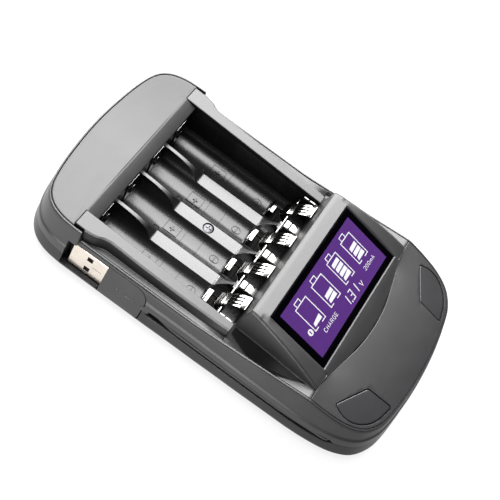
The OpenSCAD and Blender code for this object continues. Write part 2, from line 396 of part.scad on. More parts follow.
// sprung contact for the small cells: folds back into its recess
TAB = [[7.1,6.3],[7.1,8.3],[7.35,9.8],[7,11.1],[6.2,11.6],[5,11.75]];
module aaa_contact(i) { color([0.88, 0.88, 0.86]) translate([i * pitch, 0, 0]) { strip(TAB, tab_w, leaf_t); translate([-tab_w/2, 7.1, 6.3]) rotate([0, 90, 0]) cylinder(r = 0.32, h = tab_w, $fn = 24); } }
module aaa_contact_1() aaa_contact(-1.5);
module aaa_contact_2() aaa_contact(-0.5);
module aaa_contact_3() aaa_contact(0.5);
module aaa_contact_4() aaa_contact(1.5);
module contact_rail() { color([0.8, 0.8, 0.78]) translate([-31.2, -0.9, 16.62]) rotate([0, 90, 0]) cylinder(r = 0.5, h = 62.4, $fn = 32); }
module post_clips() { color([0.9, 0.9, 0.88]) {
  for (x = [-pitch, 0, pitch]) translate([x - 1.65, -7.6, 19.2]) difference() { cube([3.3, 5.9, 0.35]); translate([-1, 2.9, 0.22]) cube([6, 0.3, 1]); }
  for (s = [-1, 1]) translate([s * 32.1 - 0.55, -7.6, 19.2]) difference() { cube([1.1, 5.9, 0.35]); translate([-1, 2.9, 0.22]) cube([6, 0.3, 1]); } } }
module contact_wires() { color([0.5, 0.1, 0.1]) for (i = [-1.5:1:1.5]) translate([i * pitch + 3.6, 0, 0]) {
  translate([0, -14, 3.75]) rotate([-90, 0, 0]) cylinder(r = 0.6, h = 71.5, $fn = 16); } }

// ---------------------------------------------------------------- plug and lead
module usb_shell() { color([0.85, 0.82, 0.78]) plug_frame() difference() {
  translate([-2.25 + 2.25, 36, -6]) cube([4.5, 19.2, 12]);
  translate([0.3, 37, -5.7]) cube([3.9, 20, 11.4]);
  for (z = [-2.9, 2.9]) { translate([-1, 46.2, z - 1.1]) cube([6, 2.4, 2.2]); } } }
module usb_insert() { color([0.93, 0.93, 0.93]) plug_frame() translate([2.1, 37, -5.65]) cube([2.05, 17.4, 11.3]); }
module usb_pins() { color([0.9, 0.75, 0.35]) plug_frame() for (z = [-3.5, -1, 1, 3.5]) translate([1.9, 42, z - 0.55]) cube([0.2, 11, 1.1]); }
module usb_overmould() { color([0.36, 0.36, 0.37]) difference() { grip_block(0, 0); plug_frame() translate([-0.02, 36, -6.02]) cube([4.54, 20, 12.04]);
  translate([-43.1, 26, lead_z]) rotate([90, 0, 0]) cylinder(r = lead_d/2 + 0.2, h = 8, $fn = 24); } }
// route of the lead in its groove, from the grip to the turning point, and on to the root
LR = [[-43.1,25.9],[-43.3,18],[-43.5,10],[-43.5,0],[-43.5,-10],[-43.5,-20],[-43.5,-30],[-43.45,-38],[-43.25,-44],[-42.95,-49],[-42.6,-54],[-42.4,-56.2]];
LF = [[-42.36,-58.1],[-42.25,-58.9],[-41.9,-59.7],[-41.2,-60.3],[-40,-60.5],[-38.6,-60.5]];
module lead_run(P, d) { n = len(P); m = 12;
  function tg(i) = unit(P[min(i+1, n-1)] - P[max(i-1, 0)]);
  polyhedron(points = [for (i = [0:n-1]) let (t = tg(i), s = [-t[1], t[0]]) for (k = [0:m-1]) let (a = k * 360 / m) [P[i][0] + s[0] * cos(a) * d/2, P[i][1] + s[1] * cos(a) * d/2, lead_z + sin(a) * d/2]],
    faces = concat([[for (k = [0:m-1]) k]], [[for (k = [m-1:-1:0]) (n-1)*m + k]],
      [for (i = [0:n-2]) for (k = [0:m-1]) let (a = i*m + k, b = i*m + (k+1)%m) each [[a, a+m, b+m], [a, b+m, b]]])); }
module usb_lead() { color([0.12, 0.12, 0.13]) lead_run(LR, lead_d); }
module lead_root() { color([0.12, 0.12, 0.13]) { lead_run(LF, lead_d); translate([-42.4, -57.5, lead_z - lead_d/2]) cylinder(r = lead_d/2, h = lead_d, $fn = 32); } }
module lead_bushing() { color([0.1, 0.1, 0.1]) translate([-39.6, -60.5, lead_z]) rotate([0, 90, 0]) difference() { union() { cylinder(r = 1.7, h = 3.6, $fn = 32); translate([0, 0, 3.33]) cylinder(r = 2.3, h = 0.45, $fn = 32); } translate([0, 0, -1]) cylinder(r = lead_d/2 + 0.03, h = 9, $fn = 24); } }

// ---------------------------------------------------------------- feet, screws
module rubber_feet() { color([0.08, 0.08, 0.08]) for (x = [-33, 33], y = [-68, 70]) translate([x, y, 0]) { cylinder(r = 4.5, h = foot_h + 0.4, $fn = 48); } }
module case_screws() { color([0.3, 0.3, 0.32]) for (p = [[-28, 62], [28, 62], [-36.6, -50.6], [36.6, -50.6]]) translate([p[0], p[1], foot_h]) difference() {
  union() { translate([0, 0, 0.3]) cylinder(r = 2.2, h = 1.3, $fn = 40); cylinder(r = 0.9, h = 14, $fn = 32); }
  for (a = [0, 90]) translate([0, 0, 0.4]) rotate([0, 0, a]) cube([2.4, 0.5, 1.2], center = true); } }

base_shell();
side_case();
rear_cover();
top_frame();
front_cover();
battery_tray();
tray_screw();
display_window();
lcd_panel();
backlight();
lcd_holder();
main_board();
lcd_ribbon();
switch_left();
switch_right();
plunger_left();
plunger_right();
button_left();
button_right();
positive_contact_1();
positive_contact_2();
positive_contact_3();
positive_contact_4();
aa_contact_1();
aa_contact_2();
aa_contact_3();
aa_contact_4();
aaa_contact_1();
aaa_contact_2();
aaa_contact_3();
aaa_contact_4();
contact_rail();
post_clips();
usb_shell();
usb_insert();
usb_pins();
usb_overmould();
usb_lead();
lead_root();
lead_bushing();
control_chip();
inductors();
capacitors();
charge_transistors();
board_screws();
contact_wires();
rubber_feet();
case_screws();
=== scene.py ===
import math

import bmesh
import bpy
import numpy as np
from mathutils import Matrix, Vector


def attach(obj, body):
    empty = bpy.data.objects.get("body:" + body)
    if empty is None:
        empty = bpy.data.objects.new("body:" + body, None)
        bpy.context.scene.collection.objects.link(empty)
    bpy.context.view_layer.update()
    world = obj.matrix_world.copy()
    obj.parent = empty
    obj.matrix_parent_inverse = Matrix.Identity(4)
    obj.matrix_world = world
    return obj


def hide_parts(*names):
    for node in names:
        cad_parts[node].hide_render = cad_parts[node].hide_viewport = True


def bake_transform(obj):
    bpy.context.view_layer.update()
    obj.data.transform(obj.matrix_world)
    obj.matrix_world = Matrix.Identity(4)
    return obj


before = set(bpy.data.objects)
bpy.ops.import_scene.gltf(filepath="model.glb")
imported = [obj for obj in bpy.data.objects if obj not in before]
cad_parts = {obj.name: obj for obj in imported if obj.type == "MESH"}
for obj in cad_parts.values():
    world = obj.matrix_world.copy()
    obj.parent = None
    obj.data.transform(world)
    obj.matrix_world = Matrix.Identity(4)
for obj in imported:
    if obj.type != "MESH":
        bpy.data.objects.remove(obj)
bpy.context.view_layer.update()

MM = 0.001
scene = bpy.context.scene
scene.view_settings.view_transform = "Standard"
scene.view_settings.look = "None"


# ------------------------------------------------------------------ camera
def make_camera():
    az, el, roll = math.radians(-88.774), math.radians(58.771), math.radians(35.093)
    back = Vector((math.sin(az) * math.cos(el), -math.cos(az) * math.cos(el), math.sin(el)))
    right = Vector((math.cos(az), math.sin(az), 0.0))
    up = back.cross(right)
    r = right * math.cos(roll) + up * math.sin(roll)
    u = -right * math.sin(roll) + up * math.cos(roll)
    loc = Vector((0, 3.25, 15)) + r * -0.099 + u * -0.136 + back * 372.601
    cam = bpy.data.cameras.new("camera")
    ob = bpy.data.objects.new("camera", cam)
    scene.collection.objects.link(ob)
    m = Matrix((r, u, back)).transposed().to_4x4()
    m.translation = loc * MM
    ob.matrix_world = m
    cam.lens, cam.sensor_width, cam.sensor_fit = 70.21, 36.0, "HORIZONTAL"
    cam.clip_start, cam.clip_end = 0.01, 20
    scene.camera = ob
    return ob


make_camera()


# ------------------------------------------------------------------ materials
def new_mat(name):
    m = bpy.data.materials.new(name)
    m.use_nodes = True
    nt = m.node_tree
    nt.nodes.clear()
    out = nt.nodes.new("ShaderNodeOutputMaterial")
    b = nt.nodes.new("ShaderNodeBsdfPrincipled")
    nt.links.new(b.outputs["BSDF"], out.inputs["Surface"])
    return m, nt, b


def noise(nt, scale, detail=3.0, rough=0.5, co=None):
    n = nt.nodes.new("ShaderNodeTexNoise")
    n.inputs["Scale"].default_value = scale
    n.inputs["Detail"].default_value = detail
    n.inputs["Roughness"].default_value = rough
    if co is not None:
        nt.links.new(co, n.inputs["Vector"])
    return n.outputs["Fac"]


def ramp(nt, fac, lo, hi, a, b):
    m = nt.nodes.new("ShaderNodeMapRange")
    m.inputs["From Min"].default_value = lo
    m.inputs["From Max"].default_value = hi
    m.inputs["To Min"].default_value = a
    m.inputs["To Max"].default_value = b
    nt.links.new(fac, m.inputs["Value"])
    return m.outputs["Result"]


def mix_col(nt, fac, a, b):
    m = nt.nodes.new("ShaderNodeMix")
    m.data_type = "RGBA"
    nt.links.new(fac, m.inputs["Factor"])
    m.inputs["A"].default_value = (*a, 1)
    m.inputs["B"].default_value = (*b, 1)
    return m.outputs["Result"]


def plastic(name, col, rough=0.36, grain=0.35, mottle=0.12, spec=0.5, fine=3200.0, depth=0.02, coat=0.0):
    """Moulded plastic: a fine spark-eroded grain, faint large mottling, small changes of gloss."""
    m, nt, b = new_mat(name)
    tc = nt.nodes.new("ShaderNodeTexCoord")
    co = tc.outputs["Object"]
    big = noise(nt, 110.0, 3.0, 0.55, co)
    f = ramp(nt, big, 0.3, 0.7, 0.0, 1.0)
    lo = tuple(c * (1 - mottle) for c in col)
    hi = tuple(min(1, c * (1 + mottle)) for c in col)
    nt.links.new(mix_col(nt, f, lo, hi), b.inputs["Base Color"])
    g = noise(nt, fine, 2.0, 0.6, co)
    nt.links.new(ramp(nt, g, 0.25, 0.75, max(0.03, rough - 0.06), rough + 0.06), b.inputs["Roughness"])
    b.inputs["Specular IOR Level"].default_value = spec
    if coat:
        b.inputs["Coat Weight"].default_value = coat
        b.inputs["Coat Roughness"].default_value = 0.25
    bump = nt.nodes.new("ShaderNodeBump")
    bump.inputs["Strength"].default_value = grain
    bump.inputs["Distance"].default_value = depth * MM
    nt.links.new(g, bump.inputs["Height"])
    nt.links.new(bump.outputs["Normal"], b.inputs["Normal"])
    return m


def metal(name, col, rough=0.15, scratch=0.3, stretch=(1, 12, 1), fine=900.0, var=0.06):
    """Plated sheet: drawn marks along the sheet, slight changes of tone."""
    m, nt, b = new_mat(name)
    tc = nt.nodes.new("ShaderNodeTexCoord")
    mp = nt.nodes.new("ShaderNodeMapping")
    mp.inputs["Scale"].default_value = stretch
    nt.links.new(tc.outputs["Object"], mp.inputs["Vector"])
    g = noise(nt, fine, 3.0, 0.6, mp.outputs["Vector"])
    big = noise(nt, 260.0, 2.0, 0.5, tc.outputs["Object"])
    f = ramp(nt, big, 0.3, 0.7, 0.0, 1.0)
    nt.links.new(mix_col(nt, f, tuple(c * (1 - var) for c in col), tuple(min(1, c * (1 + var)) for c in col)), b.inputs["Base Color"])
    b.inputs["Metallic"].default_value = 1.0
    nt.links.new(ramp(nt, g, 0.25, 0.75, max(0.02, rough - 0.05), rough + 0.07), b.inputs["Roughness"])
    bump = nt.nodes.new("ShaderNodeBump")
    bump.inputs["Strength"].default_value = scratch
    bump.inputs["Distance"].default_value = 0.006 * MM
    nt.links.new(g, bump.inputs["Height"])
    nt.links.new(bump.outputs["Normal"], b.inputs["Normal"])
    return m


def printed(name, col, rough=0.12, spec=0.3, var=0.03, emit=0.0):
    """Printed or lit field under the window: faint cloudiness, slight gloss."""
    m, nt, b = new_mat(name)
    tc = nt.nodes.new("ShaderNodeTexCoord")
    big = noise(nt, 300.0, 3.0, 0.5, tc.outputs["Object"])
    f = ramp(nt, big, 0.3, 0.7, 0.0, 1.0)
    c = mix_col(nt, f, tuple(x * (1 - var) for x in col), tuple(min(1, x * (1 + var)) for x in col))
    nt.links.new(c, b.inputs["Base Color"])
    b.inputs["Roughness"].default_value = rough
    b.inputs["Specular IOR Level"].default_value = spec
    if emit:
        nt.links.new(c, b.inputs["Emission Color"])
        b.inputs["Emission Strength"].default_value = emit
    return m


def mth(nt, op, a, b=None):
    n = nt.nodes.new("ShaderNodeMath")
    n.operation = op
    for k, v in enumerate((a, b)):
        if v is None:
            continue
        if isinstance(v, (int, float)):
            n.inputs[k].default_value = v
        else:
            nt.links.new(v, n.inputs[k])
    return n.outputs["Value"]


def frame_plastic():
    """The cover plastic, with painted shade: a darker base colour and a much lower specular level on the outer and
    inner walls of the rails and on the flares beside the display.
    """
    m = plastic("shell_frame_plastic", (0.021, 0.0205, 0.0215), 0.40, spec=0.70)
    nt = m.node_tree
    b = [n for n in nt.nodes if n.type == "BSDF_PRINCIPLED"][0]
    tc = nt.nodes.new("ShaderNodeTexCoord")
    geo = nt.nodes.new("ShaderNodeNewGeometry")
    p, q = nt.nodes.new("ShaderNodeSeparateXYZ"), nt.nodes.new("ShaderNodeSeparateXYZ")
    nt.links.new(tc.outputs["Object"], p.inputs[0])
    nt.links.new(geo.outputs["Normal"], q.inputs[0])
    ax, nz = mth(nt, "ABSOLUTE", p.outputs["X"]), mth(nt, "ABSOLUTE", q.outputs["Z"])
    y = p.outputs["Y"]
    rail = mth(nt, "MULTIPLY", ramp(nt, ax, 0.0352, 0.0356, 0.0, 1.0), ramp(nt, nz, 0.5, 0.7, 1.0, 0.0))
    inner_x = mth(nt, "ADD", mth(nt, "MULTIPLY", y, 0.108), ax)
    outer_a = mth(nt, "ADD", ax, mth(nt, "MULTIPLY", y, 0.393))
    outer_b = mth(nt, "SUBTRACT", ax, mth(nt, "MULTIPLY", y, 0.36))
    outer = mth(nt, "MULTIPLY", ramp(nt, outer_a, 0.0320, 0.0329, 1.0, 0.0), ramp(nt, outer_b, 0.0514, 0.0519, 1.0, 0.0))
    flare = mth(nt, "MULTIPLY", ramp(nt, inner_x, 0.0322, 0.0326, 0.0, 1.0), outer)
    inner_wall = mth(nt, "MULTIPLY", ramp(nt, ax, 0.03285, 0.03315, 1.0, 0.0), ramp(nt, nz, 0.5, 0.7, 1.0, 0.0))
    behind = ramp(nt, y, -0.0095, -0.0085, 0.0, 1.0)
    # painted shade: mask of the rail walls and display flares, where the colour is darkened and the specular level
    # lowered
    painted_shade_mask = mth(nt, "ADD", mth(nt, "MULTIPLY", mth(nt, "ADD", mth(nt, "MULTIPLY", rail, 0.7), inner_wall), behind), mth(nt, "MULTIPLY", flare, mth(nt, "SUBTRACT", 1.0, behind)))
    nt.links.new(ramp(nt, painted_shade_mask, 0.0, 1.0, 0.70, 0.05), b.inputs["Specular IOR Level"])
    src = b.inputs["Base Color"].links[0].from_socket
    mx = nt.nodes.new("ShaderNodeMix")
    mx.data_type = "RGBA"
    nt.links.new(painted_shade_mask, mx.inputs["Factor"])
    nt.links.new(src, mx.inputs["A"])
    # near-black colour of the painted shade
    mx.inputs["B"].default_value = (0.007, 0.007, 0.0072, 1)
    nt.links.new(mx.outputs["Result"], b.inputs["Base Color"])
    return m


def cap_plastic():
    """The rear cover: the cover plastic with painted shade, its specular level falling off toward the right end to
    darken it.
    """
    m = plastic("shell_cap_plastic", (0.021, 0.0205, 0.0215), 0.40, spec=0.58)
    nt = m.node_tree
    b = [n for n in nt.nodes if n.type == "BSDF_PRINCIPLED"][0]
    tc = nt.nodes.new("ShaderNodeTexCoord")
    p = nt.nodes.new("ShaderNodeSeparateXYZ")
    nt.links.new(tc.outputs["Object"], p.inputs[0])
    # painted shade: lower specular level from x = 0 to the right end
    nt.links.new(ramp(nt, p.outputs["X"], 0.0, 0.034, 0.585, 0.44), b.inputs["Specular IOR Level"])
    return m


def tray_plastic():
    """The tray plastic with painted shade: specular level lowered on the side walls of the bay and the steep flanks of
    the fins, and a little in the channels.
    """
    m = plastic("tray_plastic", (0.006, 0.006, 0.0065), 0.29, grain=0.3, mottle=0.2, spec=0.86)
    nt = m.node_tree
    b = [n for n in nt.nodes if n.type == "BSDF_PRINCIPLED"][0]
    tc = nt.nodes.new("ShaderNodeTexCoord")
    p = nt.nodes.new("ShaderNodeSeparateXYZ")
    nt.links.new(tc.outputs["Object"], p.inputs[0])
    side = ramp(nt, mth(nt, "ABSOLUTE", p.outputs["X"]), 0.0284, 0.0292, 1.0, 0.33)
    low = ramp(nt, p.outputs["Z"], 0.0072, 0.0094, 0.57, 0.86)
    geo = nt.nodes.new("ShaderNodeNewGeometry")
    q = nt.nodes.new("ShaderNodeSeparateXYZ")
    nt.links.new(geo.outputs["Normal"], q.inputs[0])
    steep = ramp(nt, mth(nt, "ABSOLUTE", q.outputs["Z"]), 0.80, 0.93, 1.0, 0.0)
    fins = mth(nt, "MULTIPLY", ramp(nt, p.outputs["Y"], 0.030, 0.033, 0.0, 1.0), ramp(nt, p.outputs["Z"], 0.0080, 0.0088, 0.0, 1.0))
    fin_flank_shade = ramp(nt, mth(nt, "MULTIPLY", steep, fins), 0.0, 1.0, 1.0, 0.28)
    # painted shade: the product of these masks lowers the specular level
    nt.links.new(mth(nt, "MULTIPLY", mth(nt, "MULTIPLY", side, low), fin_flank_shade), b.inputs["Specular IOR Level"])
    return m


M = {
    "frame": frame_plastic(),
    "cap": cap_plastic(),
    "top": plastic("shell_top_plastic", (0.021, 0.0205, 0.0215), 0.40, spec=0.70),
    "side": plastic("shell_side_plastic", (0.028, 0.028, 0.0295), 0.40, spec=0.66),
    "base": plastic("shell_base_plastic", (0.022, 0.022, 0.0235), 0.36, spec=0.44),
    "key": plastic("key_plastic", (0.016, 0.0157, 0.017), 0.38, spec=0.62),
    "tray": tray_plastic(),
    # near-black: dark joints, and painted shade in the contact recesses and behind the plug's holes
    "gap": plastic("dark_gap_and_painted_shade", (0.004, 0.004, 0.004), 0.7, spec=0.1),
    "grip": plastic("grip_rubber", (0.045, 0.045, 0.047), 0.4, grain=0.4, spec=0.5, fine=2400.0),
    "lead": plastic("lead_jacket", (0.035, 0.035, 0.037), 0.45, spec=0.4),
    "rubber": plastic("black_rubber", (0.012, 0.012, 0.012), 0.75, spec=0.2, fine=1800.0),
    "window": printed("window_black", (0.0006, 0.0005, 0.0009), 0.05, spec=0.08),
    "field": printed("display_purple", (0.041, 0.0135, 0.088), 0.3, spec=0.08, emit=0.0),
    "marks": printed("display_white", (0.37, 0.37, 0.385), 0.4, spec=0.1, emit=0.0),
    "nickel": metal("contact_nickel", (0.24, 0.236, 0.228), 0.12),
    "usb": metal("usb_steel", (0.80, 0.72, 0.64), 0.24, stretch=(1, 6, 1)),
    "screw": metal("screw_black_oxide", (0.11, 0.11, 0.115), 0.42),
    "zinc": metal("screw_zinc_plate", (0.7, 0.7, 0.72), 0.3),
    "gold": metal("gold_plate", (0.9, 0.68, 0.3), 0.2),
    "white": plastic("white_plastic", (0.78, 0.78, 0.77), 0.45, mottle=0.03),
    "board": plastic("board_green", (0.015, 0.12, 0.05), 0.35, mottle=0.2),
    "chip": plastic("chip_black", (0.015, 0.015, 0.016), 0.55),
    "ribbon": plastic("ribbon_amber", (0.42, 0.2, 0.04), 0.3),
    "ferrite": plastic("ferrite_dark", (0.04, 0.04, 0.042), 0.7, grain=0.8),
    "can": metal("capacitor_can", (0.32, 0.36, 0.5), 0.3),
    "wire": plastic("wire_red", (0.35, 0.015, 0.012), 0.4),
    "plunger": plastic("plunger_red", (0.4, 0.03, 0.02), 0.45),
}


def painted_shade_along_y(m, y0, y1, a, b):
    """Painted shade: specular level of a plastic changing along the body, from a at y0 to b at y1."""
    nt = m.node_tree
    bs = [n for n in nt.nodes if n.type == "BSDF_PRINCIPLED"][0]
    tc = nt.nodes.new("ShaderNodeTexCoord")
    p = nt.nodes.new("ShaderNodeSeparateXYZ")
    nt.links.new(tc.outputs["Object"], p.inputs[0])
    nt.links.new(ramp(nt, p.outputs["Y"], y0, y1, a, b), bs.inputs["Specular IOR Level"])


# painted shade: front ends of the side case, base shell and covers darkened
painted_shade_along_y(M["side"], -0.072, -0.020, 0.12, 0.66)
painted_shade_along_y(M["base"], -0.072, -0.020, 0.14, 0.44)
painted_shade_along_y(M["top"], -0.079, -0.066, 0.38, 0.70)
CAD_MATS = {
    "base_shell": "base", "side_case": "side", "rear_cover": "top", "top_frame": "top", "front_cover": "top", "battery_tray": "tray",
    "tray_screw": "screw", "display_window": "window", "lcd_panel": "field", "backlight": "white", "lcd_holder": "white", "main_board": "board",
    "lcd_ribbon": "ribbon", "switch_left": "chip", "switch_right": "chip", "plunger_left": "plunger", "plunger_right": "plunger",
    "button_left": "key", "button_right": "key", "contact_rail": "nickel", "usb_shell": "usb", "usb_insert": "white", "usb_pins": "gold",
    "usb_overmould": "grip", "usb_lead": "lead", "lead_root": "lead", "lead_bushing": "rubber", "control_chip": "chip", "inductors": "ferrite",
    "capacitors": "can", "charge_transistors": "chip", "board_screws": "zinc", "contact_wires": "wire", "rubber_feet": "rubber", "case_screws": "screw",
}
for node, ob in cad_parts.items():
    key = CAD_MATS.get(node, "nickel")
    ob.data.materials.clear()
    ob.data.materials.append(M[key])


# ------------------------------------------------------------------ mesh helpers
def mesh_obj(name, verts, faces, mat, body, smooth=32.0, replaces=(), flip=False, merge=0.0):
    me = bpy.data.meshes.new(name)
    v = np.asarray(verts, float) * MM
    if flip:
        faces = [tuple(reversed(f)) for f in faces]
    me.from_pydata([tuple(p) for p in v], [], [tuple(int(i) for i in f) for f in faces])
    me.validate()
    if merge:
        bm = bmesh.new()
        bm.from_mesh(me)
        bmesh.ops.remove_doubles(bm, verts=bm.verts, dist=merge * MM)
        bmesh.ops.recalc_face_normals(bm, faces=bm.faces)
        bm.to_mesh(me)
        bm.free()
    me.materials.append(M[mat])
    ob = bpy.data.objects.new(name, me)
    scene.collection.objects.link(ob)
    shade(ob, smooth)
    if body:
        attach(ob, body)
    if replaces:
        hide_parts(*replaces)
    return ob


def shade(ob, angle=32.0):
    me = ob.data
    me.polygons.foreach_set("use_smooth", np.ones(len(me.polygons), bool))
    if hasattr(me, "set_sharp_from_angle"):
        me.set_sharp_from_angle(angle=math.radians(angle))
    me.update()


def apply_mods(ob):
    dg = bpy.context.evaluated_depsgraph_get()
    e = ob.evaluated_get(dg)
    me = bpy.data.meshes.new_from_object(e, depsgraph=dg)
    old = ob.data
    ob.modifiers.clear()
    ob.data = me
    bpy.data.meshes.remove(old)


def bevel(ob, width, segments=3, angle=30.0, apply=True, weight=False):
    m = ob.modifiers.new("bevel", "BEVEL")
    m.width = width * MM
    m.segments = segments
    m.limit_method = "WEIGHT" if weight else "ANGLE"
    m.angle_limit = math.radians(angle)
    m.use_clamp_overlap = True
    m.harden_normals = False
    m.miter_outer = "MITER_ARC"
    if apply:
        apply_mods(ob)
    return ob


def cut(ob, cutters, op="DIFFERENCE", keep=False):
    for c in cutters:
        m = ob.modifiers.new("cut", "BOOLEAN")
        m.operation = op
        m.solver = "EXACT"
        m.object = c
    apply_mods(ob)
    if not keep:
        for c in cutters:
            me = c.data
            bpy.data.objects.remove(c)
            bpy.data.meshes.remove(me)
    return ob


def grid_faces(n, m, closed_i=False, closed_j=False, base=0):
    out = []
    ni = n if closed_i else n - 1
    mj = m if closed_j else m - 1
    for i in range(ni):
        for j in range(mj):
            a = base + i * m + j
            b = base + i * m + (j + 1) % m
            c = base + ((i + 1) % n) * m + (j + 1) % m
            d = base + ((i + 1) % n) * m + j
            out.append((a, b, c, d))
    return out


def lerp(a, b, t):
    return a + (b - a) * t


def sstep(a, b, x):
    t = min(1.0, max(0.0, (x - a) / (b - a)))
    return t * t * (3 - 2 * t)


def smin(a, b, k):
    h = max(k - abs(a - b), 0.0) / k
    return min(a, b) - h * h * k * 0.25


def fillet(pts, n=4):
    """Closed polygon of (a, b, radius) corners to a list of points, n + 3 on every corner."""
    out = []
    c = len(pts)
    for i in range(c):
        p = np.array(pts[i][:2], float)
        q = np.array(pts[i - 1][:2], float)
        s = np.array(pts[(i + 1) % c][:2], float)
        r = pts[i][2]
        u, v = q - p, s - p
        lu, lv = np.linalg.norm(u), np.linalg.norm(v)
        u, v = u / max(lu, 1e-9), v / max(lv, 1e-9)
        ang = math.acos(max(-1, min(1, float(u @ v))))
        if r <= 0 or ang > math.pi - 1e-3 or ang < 1e-3:
            for k in range(n + 3):
                out.append(p.copy())
            continue
        t = r / math.tan(ang / 2)
        t = min(t, 0.48 * lu, 0.48 * lv)
        rr = t * math.tan(ang / 2)
        mid = (u + v) / np.linalg.norm(u + v)
        cen = p + mid * (rr / math.sin(ang / 2))
        a0, a1 = p + u * t - cen, p + v * t - cen
        om = math.acos(max(-1, min(1, float(a0 @ a1) / (np.linalg.norm(a0) * np.linalg.norm(a1) + 1e-12))))
        hold_u = min(0.35, (lu - t) * 0.3)
        hold_v = min(0.35, (lv - t) * 0.3)
        out.append(p + u * (t + hold_u))
        for k in range(n + 1):
            w = k / n
            if om < 1e-6:
                d = a0
            else:
                d = a0 * math.sin((1 - w) * om) / math.sin(om) + a1 * math.sin(w * om) / math.sin(om)
            out.append(cen + d)
        out.append(p + v * (t + hold_v))
    return out


# ------------------------------------------------------------------ body outlines
HT = np.array([[0, 78.2], [12, 77.7], [24, 76.4], [33, 74.2], [38, 70.4], [40.6, 64.5], [41.4, 57], [41.4, 54.4], [41.4, 53.6], [41.4, 46], [41.4, 34],
               [41.4, 22], [41.4, 18], [41.4, 8], [41.4, 3], [41.4, -5], [41.4, -13], [41.4, -21], [41.4, -29], [41.4, -37], [41.4, -45.3], [40.9, -53],
               [39.4, -61.5], [36, -68.4], [30.5, -72.6], [24, -74.6], [12, -76.2], [0, -76.7]], float)
HB = np.array([[0, 80.25], [12.4, 79.8], [25.4, 78.6], [35.6, 76.2], [41.8, 71.8], [45, 65.4], [46.1, 57], [46.1, 54.4], [46.1, 53.6], [46.1, 46], [46.1, 34],
               [46.1, 22], [46.1, 18], [46, 8], [46, 3], [46, -5], [45.9, -13], [45.9, -21], [45.8, -29], [45.7, -37], [45.6, -45.3], [45, -54],
               [43.4, -63.6], [39.9, -71.2], [33.8, -75.9], [26.4, -78.2], [13, -79.8], [0, -80.25]], float)
LAST, S0, S1 = len(HT) - 1, 6, 20


def dense_half(H):
    def at(i):
        if i < 0:
            return H[-i] * [-1, 1]
        if i > LAST:
            return H[2 * LAST - i] * [-1, 1]
        return H[i]

    out = []
    for i in range(LAST):
        straight = S0 <= i < S1
        n = (6 if i in (6, 7, 8, 11, 12, 13) else 3) if straight else 9
        for k in range(n):
            t = k / n
            if straight:
                out.append(H[i] * (1 - t) + H[i + 1] * t)
            else:
                a = 1.5 * H[i] - 0.5 * H[i + 1] + np.array([0, 4.0]) if i == S1 else at(i - 1)
                d = H[i + 1] - np.array([0, 6.0]) if i == S0 - 1 else at(i + 2)
                b, c = H[i], H[i + 1]
                out.append(0.5 * (2 * b + (c - a) * t + (2 * a - 5 * b + 4 * c - d) * t * t + (3 * b - a - 3 * c + d) * t ** 3))
    return out


def dense_full(H):
    h = dense_half(H)
    return np.array(h + [H[LAST]] + [p * [-1, 1] for p in h[:0:-1]])


TO, BO = dense_full(HT), dense_full(HB)
NS = len(TO)
NR = (BO - TO) / np.linalg.norm(BO - TO, axis=1)[:, None]
LN = np.linalg.norm(BO - TO, axis=1)


def z_cap(x, y):
    return 25 - 0.5 * (x / 41) ** 2


def z_front(x, y):
    return 24.9 + 0.224 * (y + 49.3) - 1.2 * (x / 41) ** 2


def z_cover(x, y):
    """Front cover: a little flatter behind, steeper towards its front edge."""
    t = min(1.0, max(0.0, (y + 78) / 31.0))
    return z_front(x, y) + (1.5 * t - 2.45 * t * t) * (1 - 0.8 * sstep(24, 37, abs(x)))


def z_side(y):
    r = 3 - y
    return 18.9 + 0.1174 * 0.5 * (r + math.sqrt(r * r + 9))


def z_edge(x, y):
    low = smin(z_side(y), z_front(x, y), 0.5) if y < 20 else z_side(y)
    if y > 53.2:
        return lerp(low, z_cap(x, y), sstep(53.65, 54.35, y))
    return low


ZE = np.array([z_edge(*p) for p in TO])


def off(i, z):
    return LN[i] * (ZE[i] - z) / (ZE[i] - 3.5)


def wp(i, d, z):
    p = TO[i] + NR[i] * d
    return (p[0], p[1], z)


def groove_w(i):
    """1 along the lead groove on the left side, 0 elsewhere."""
    x, y = TO[i]
    if x > 0:
        return 0.0
    return sstep(-61.5, -59.5, y) * (1 - sstep(19.4, 20.6, y))


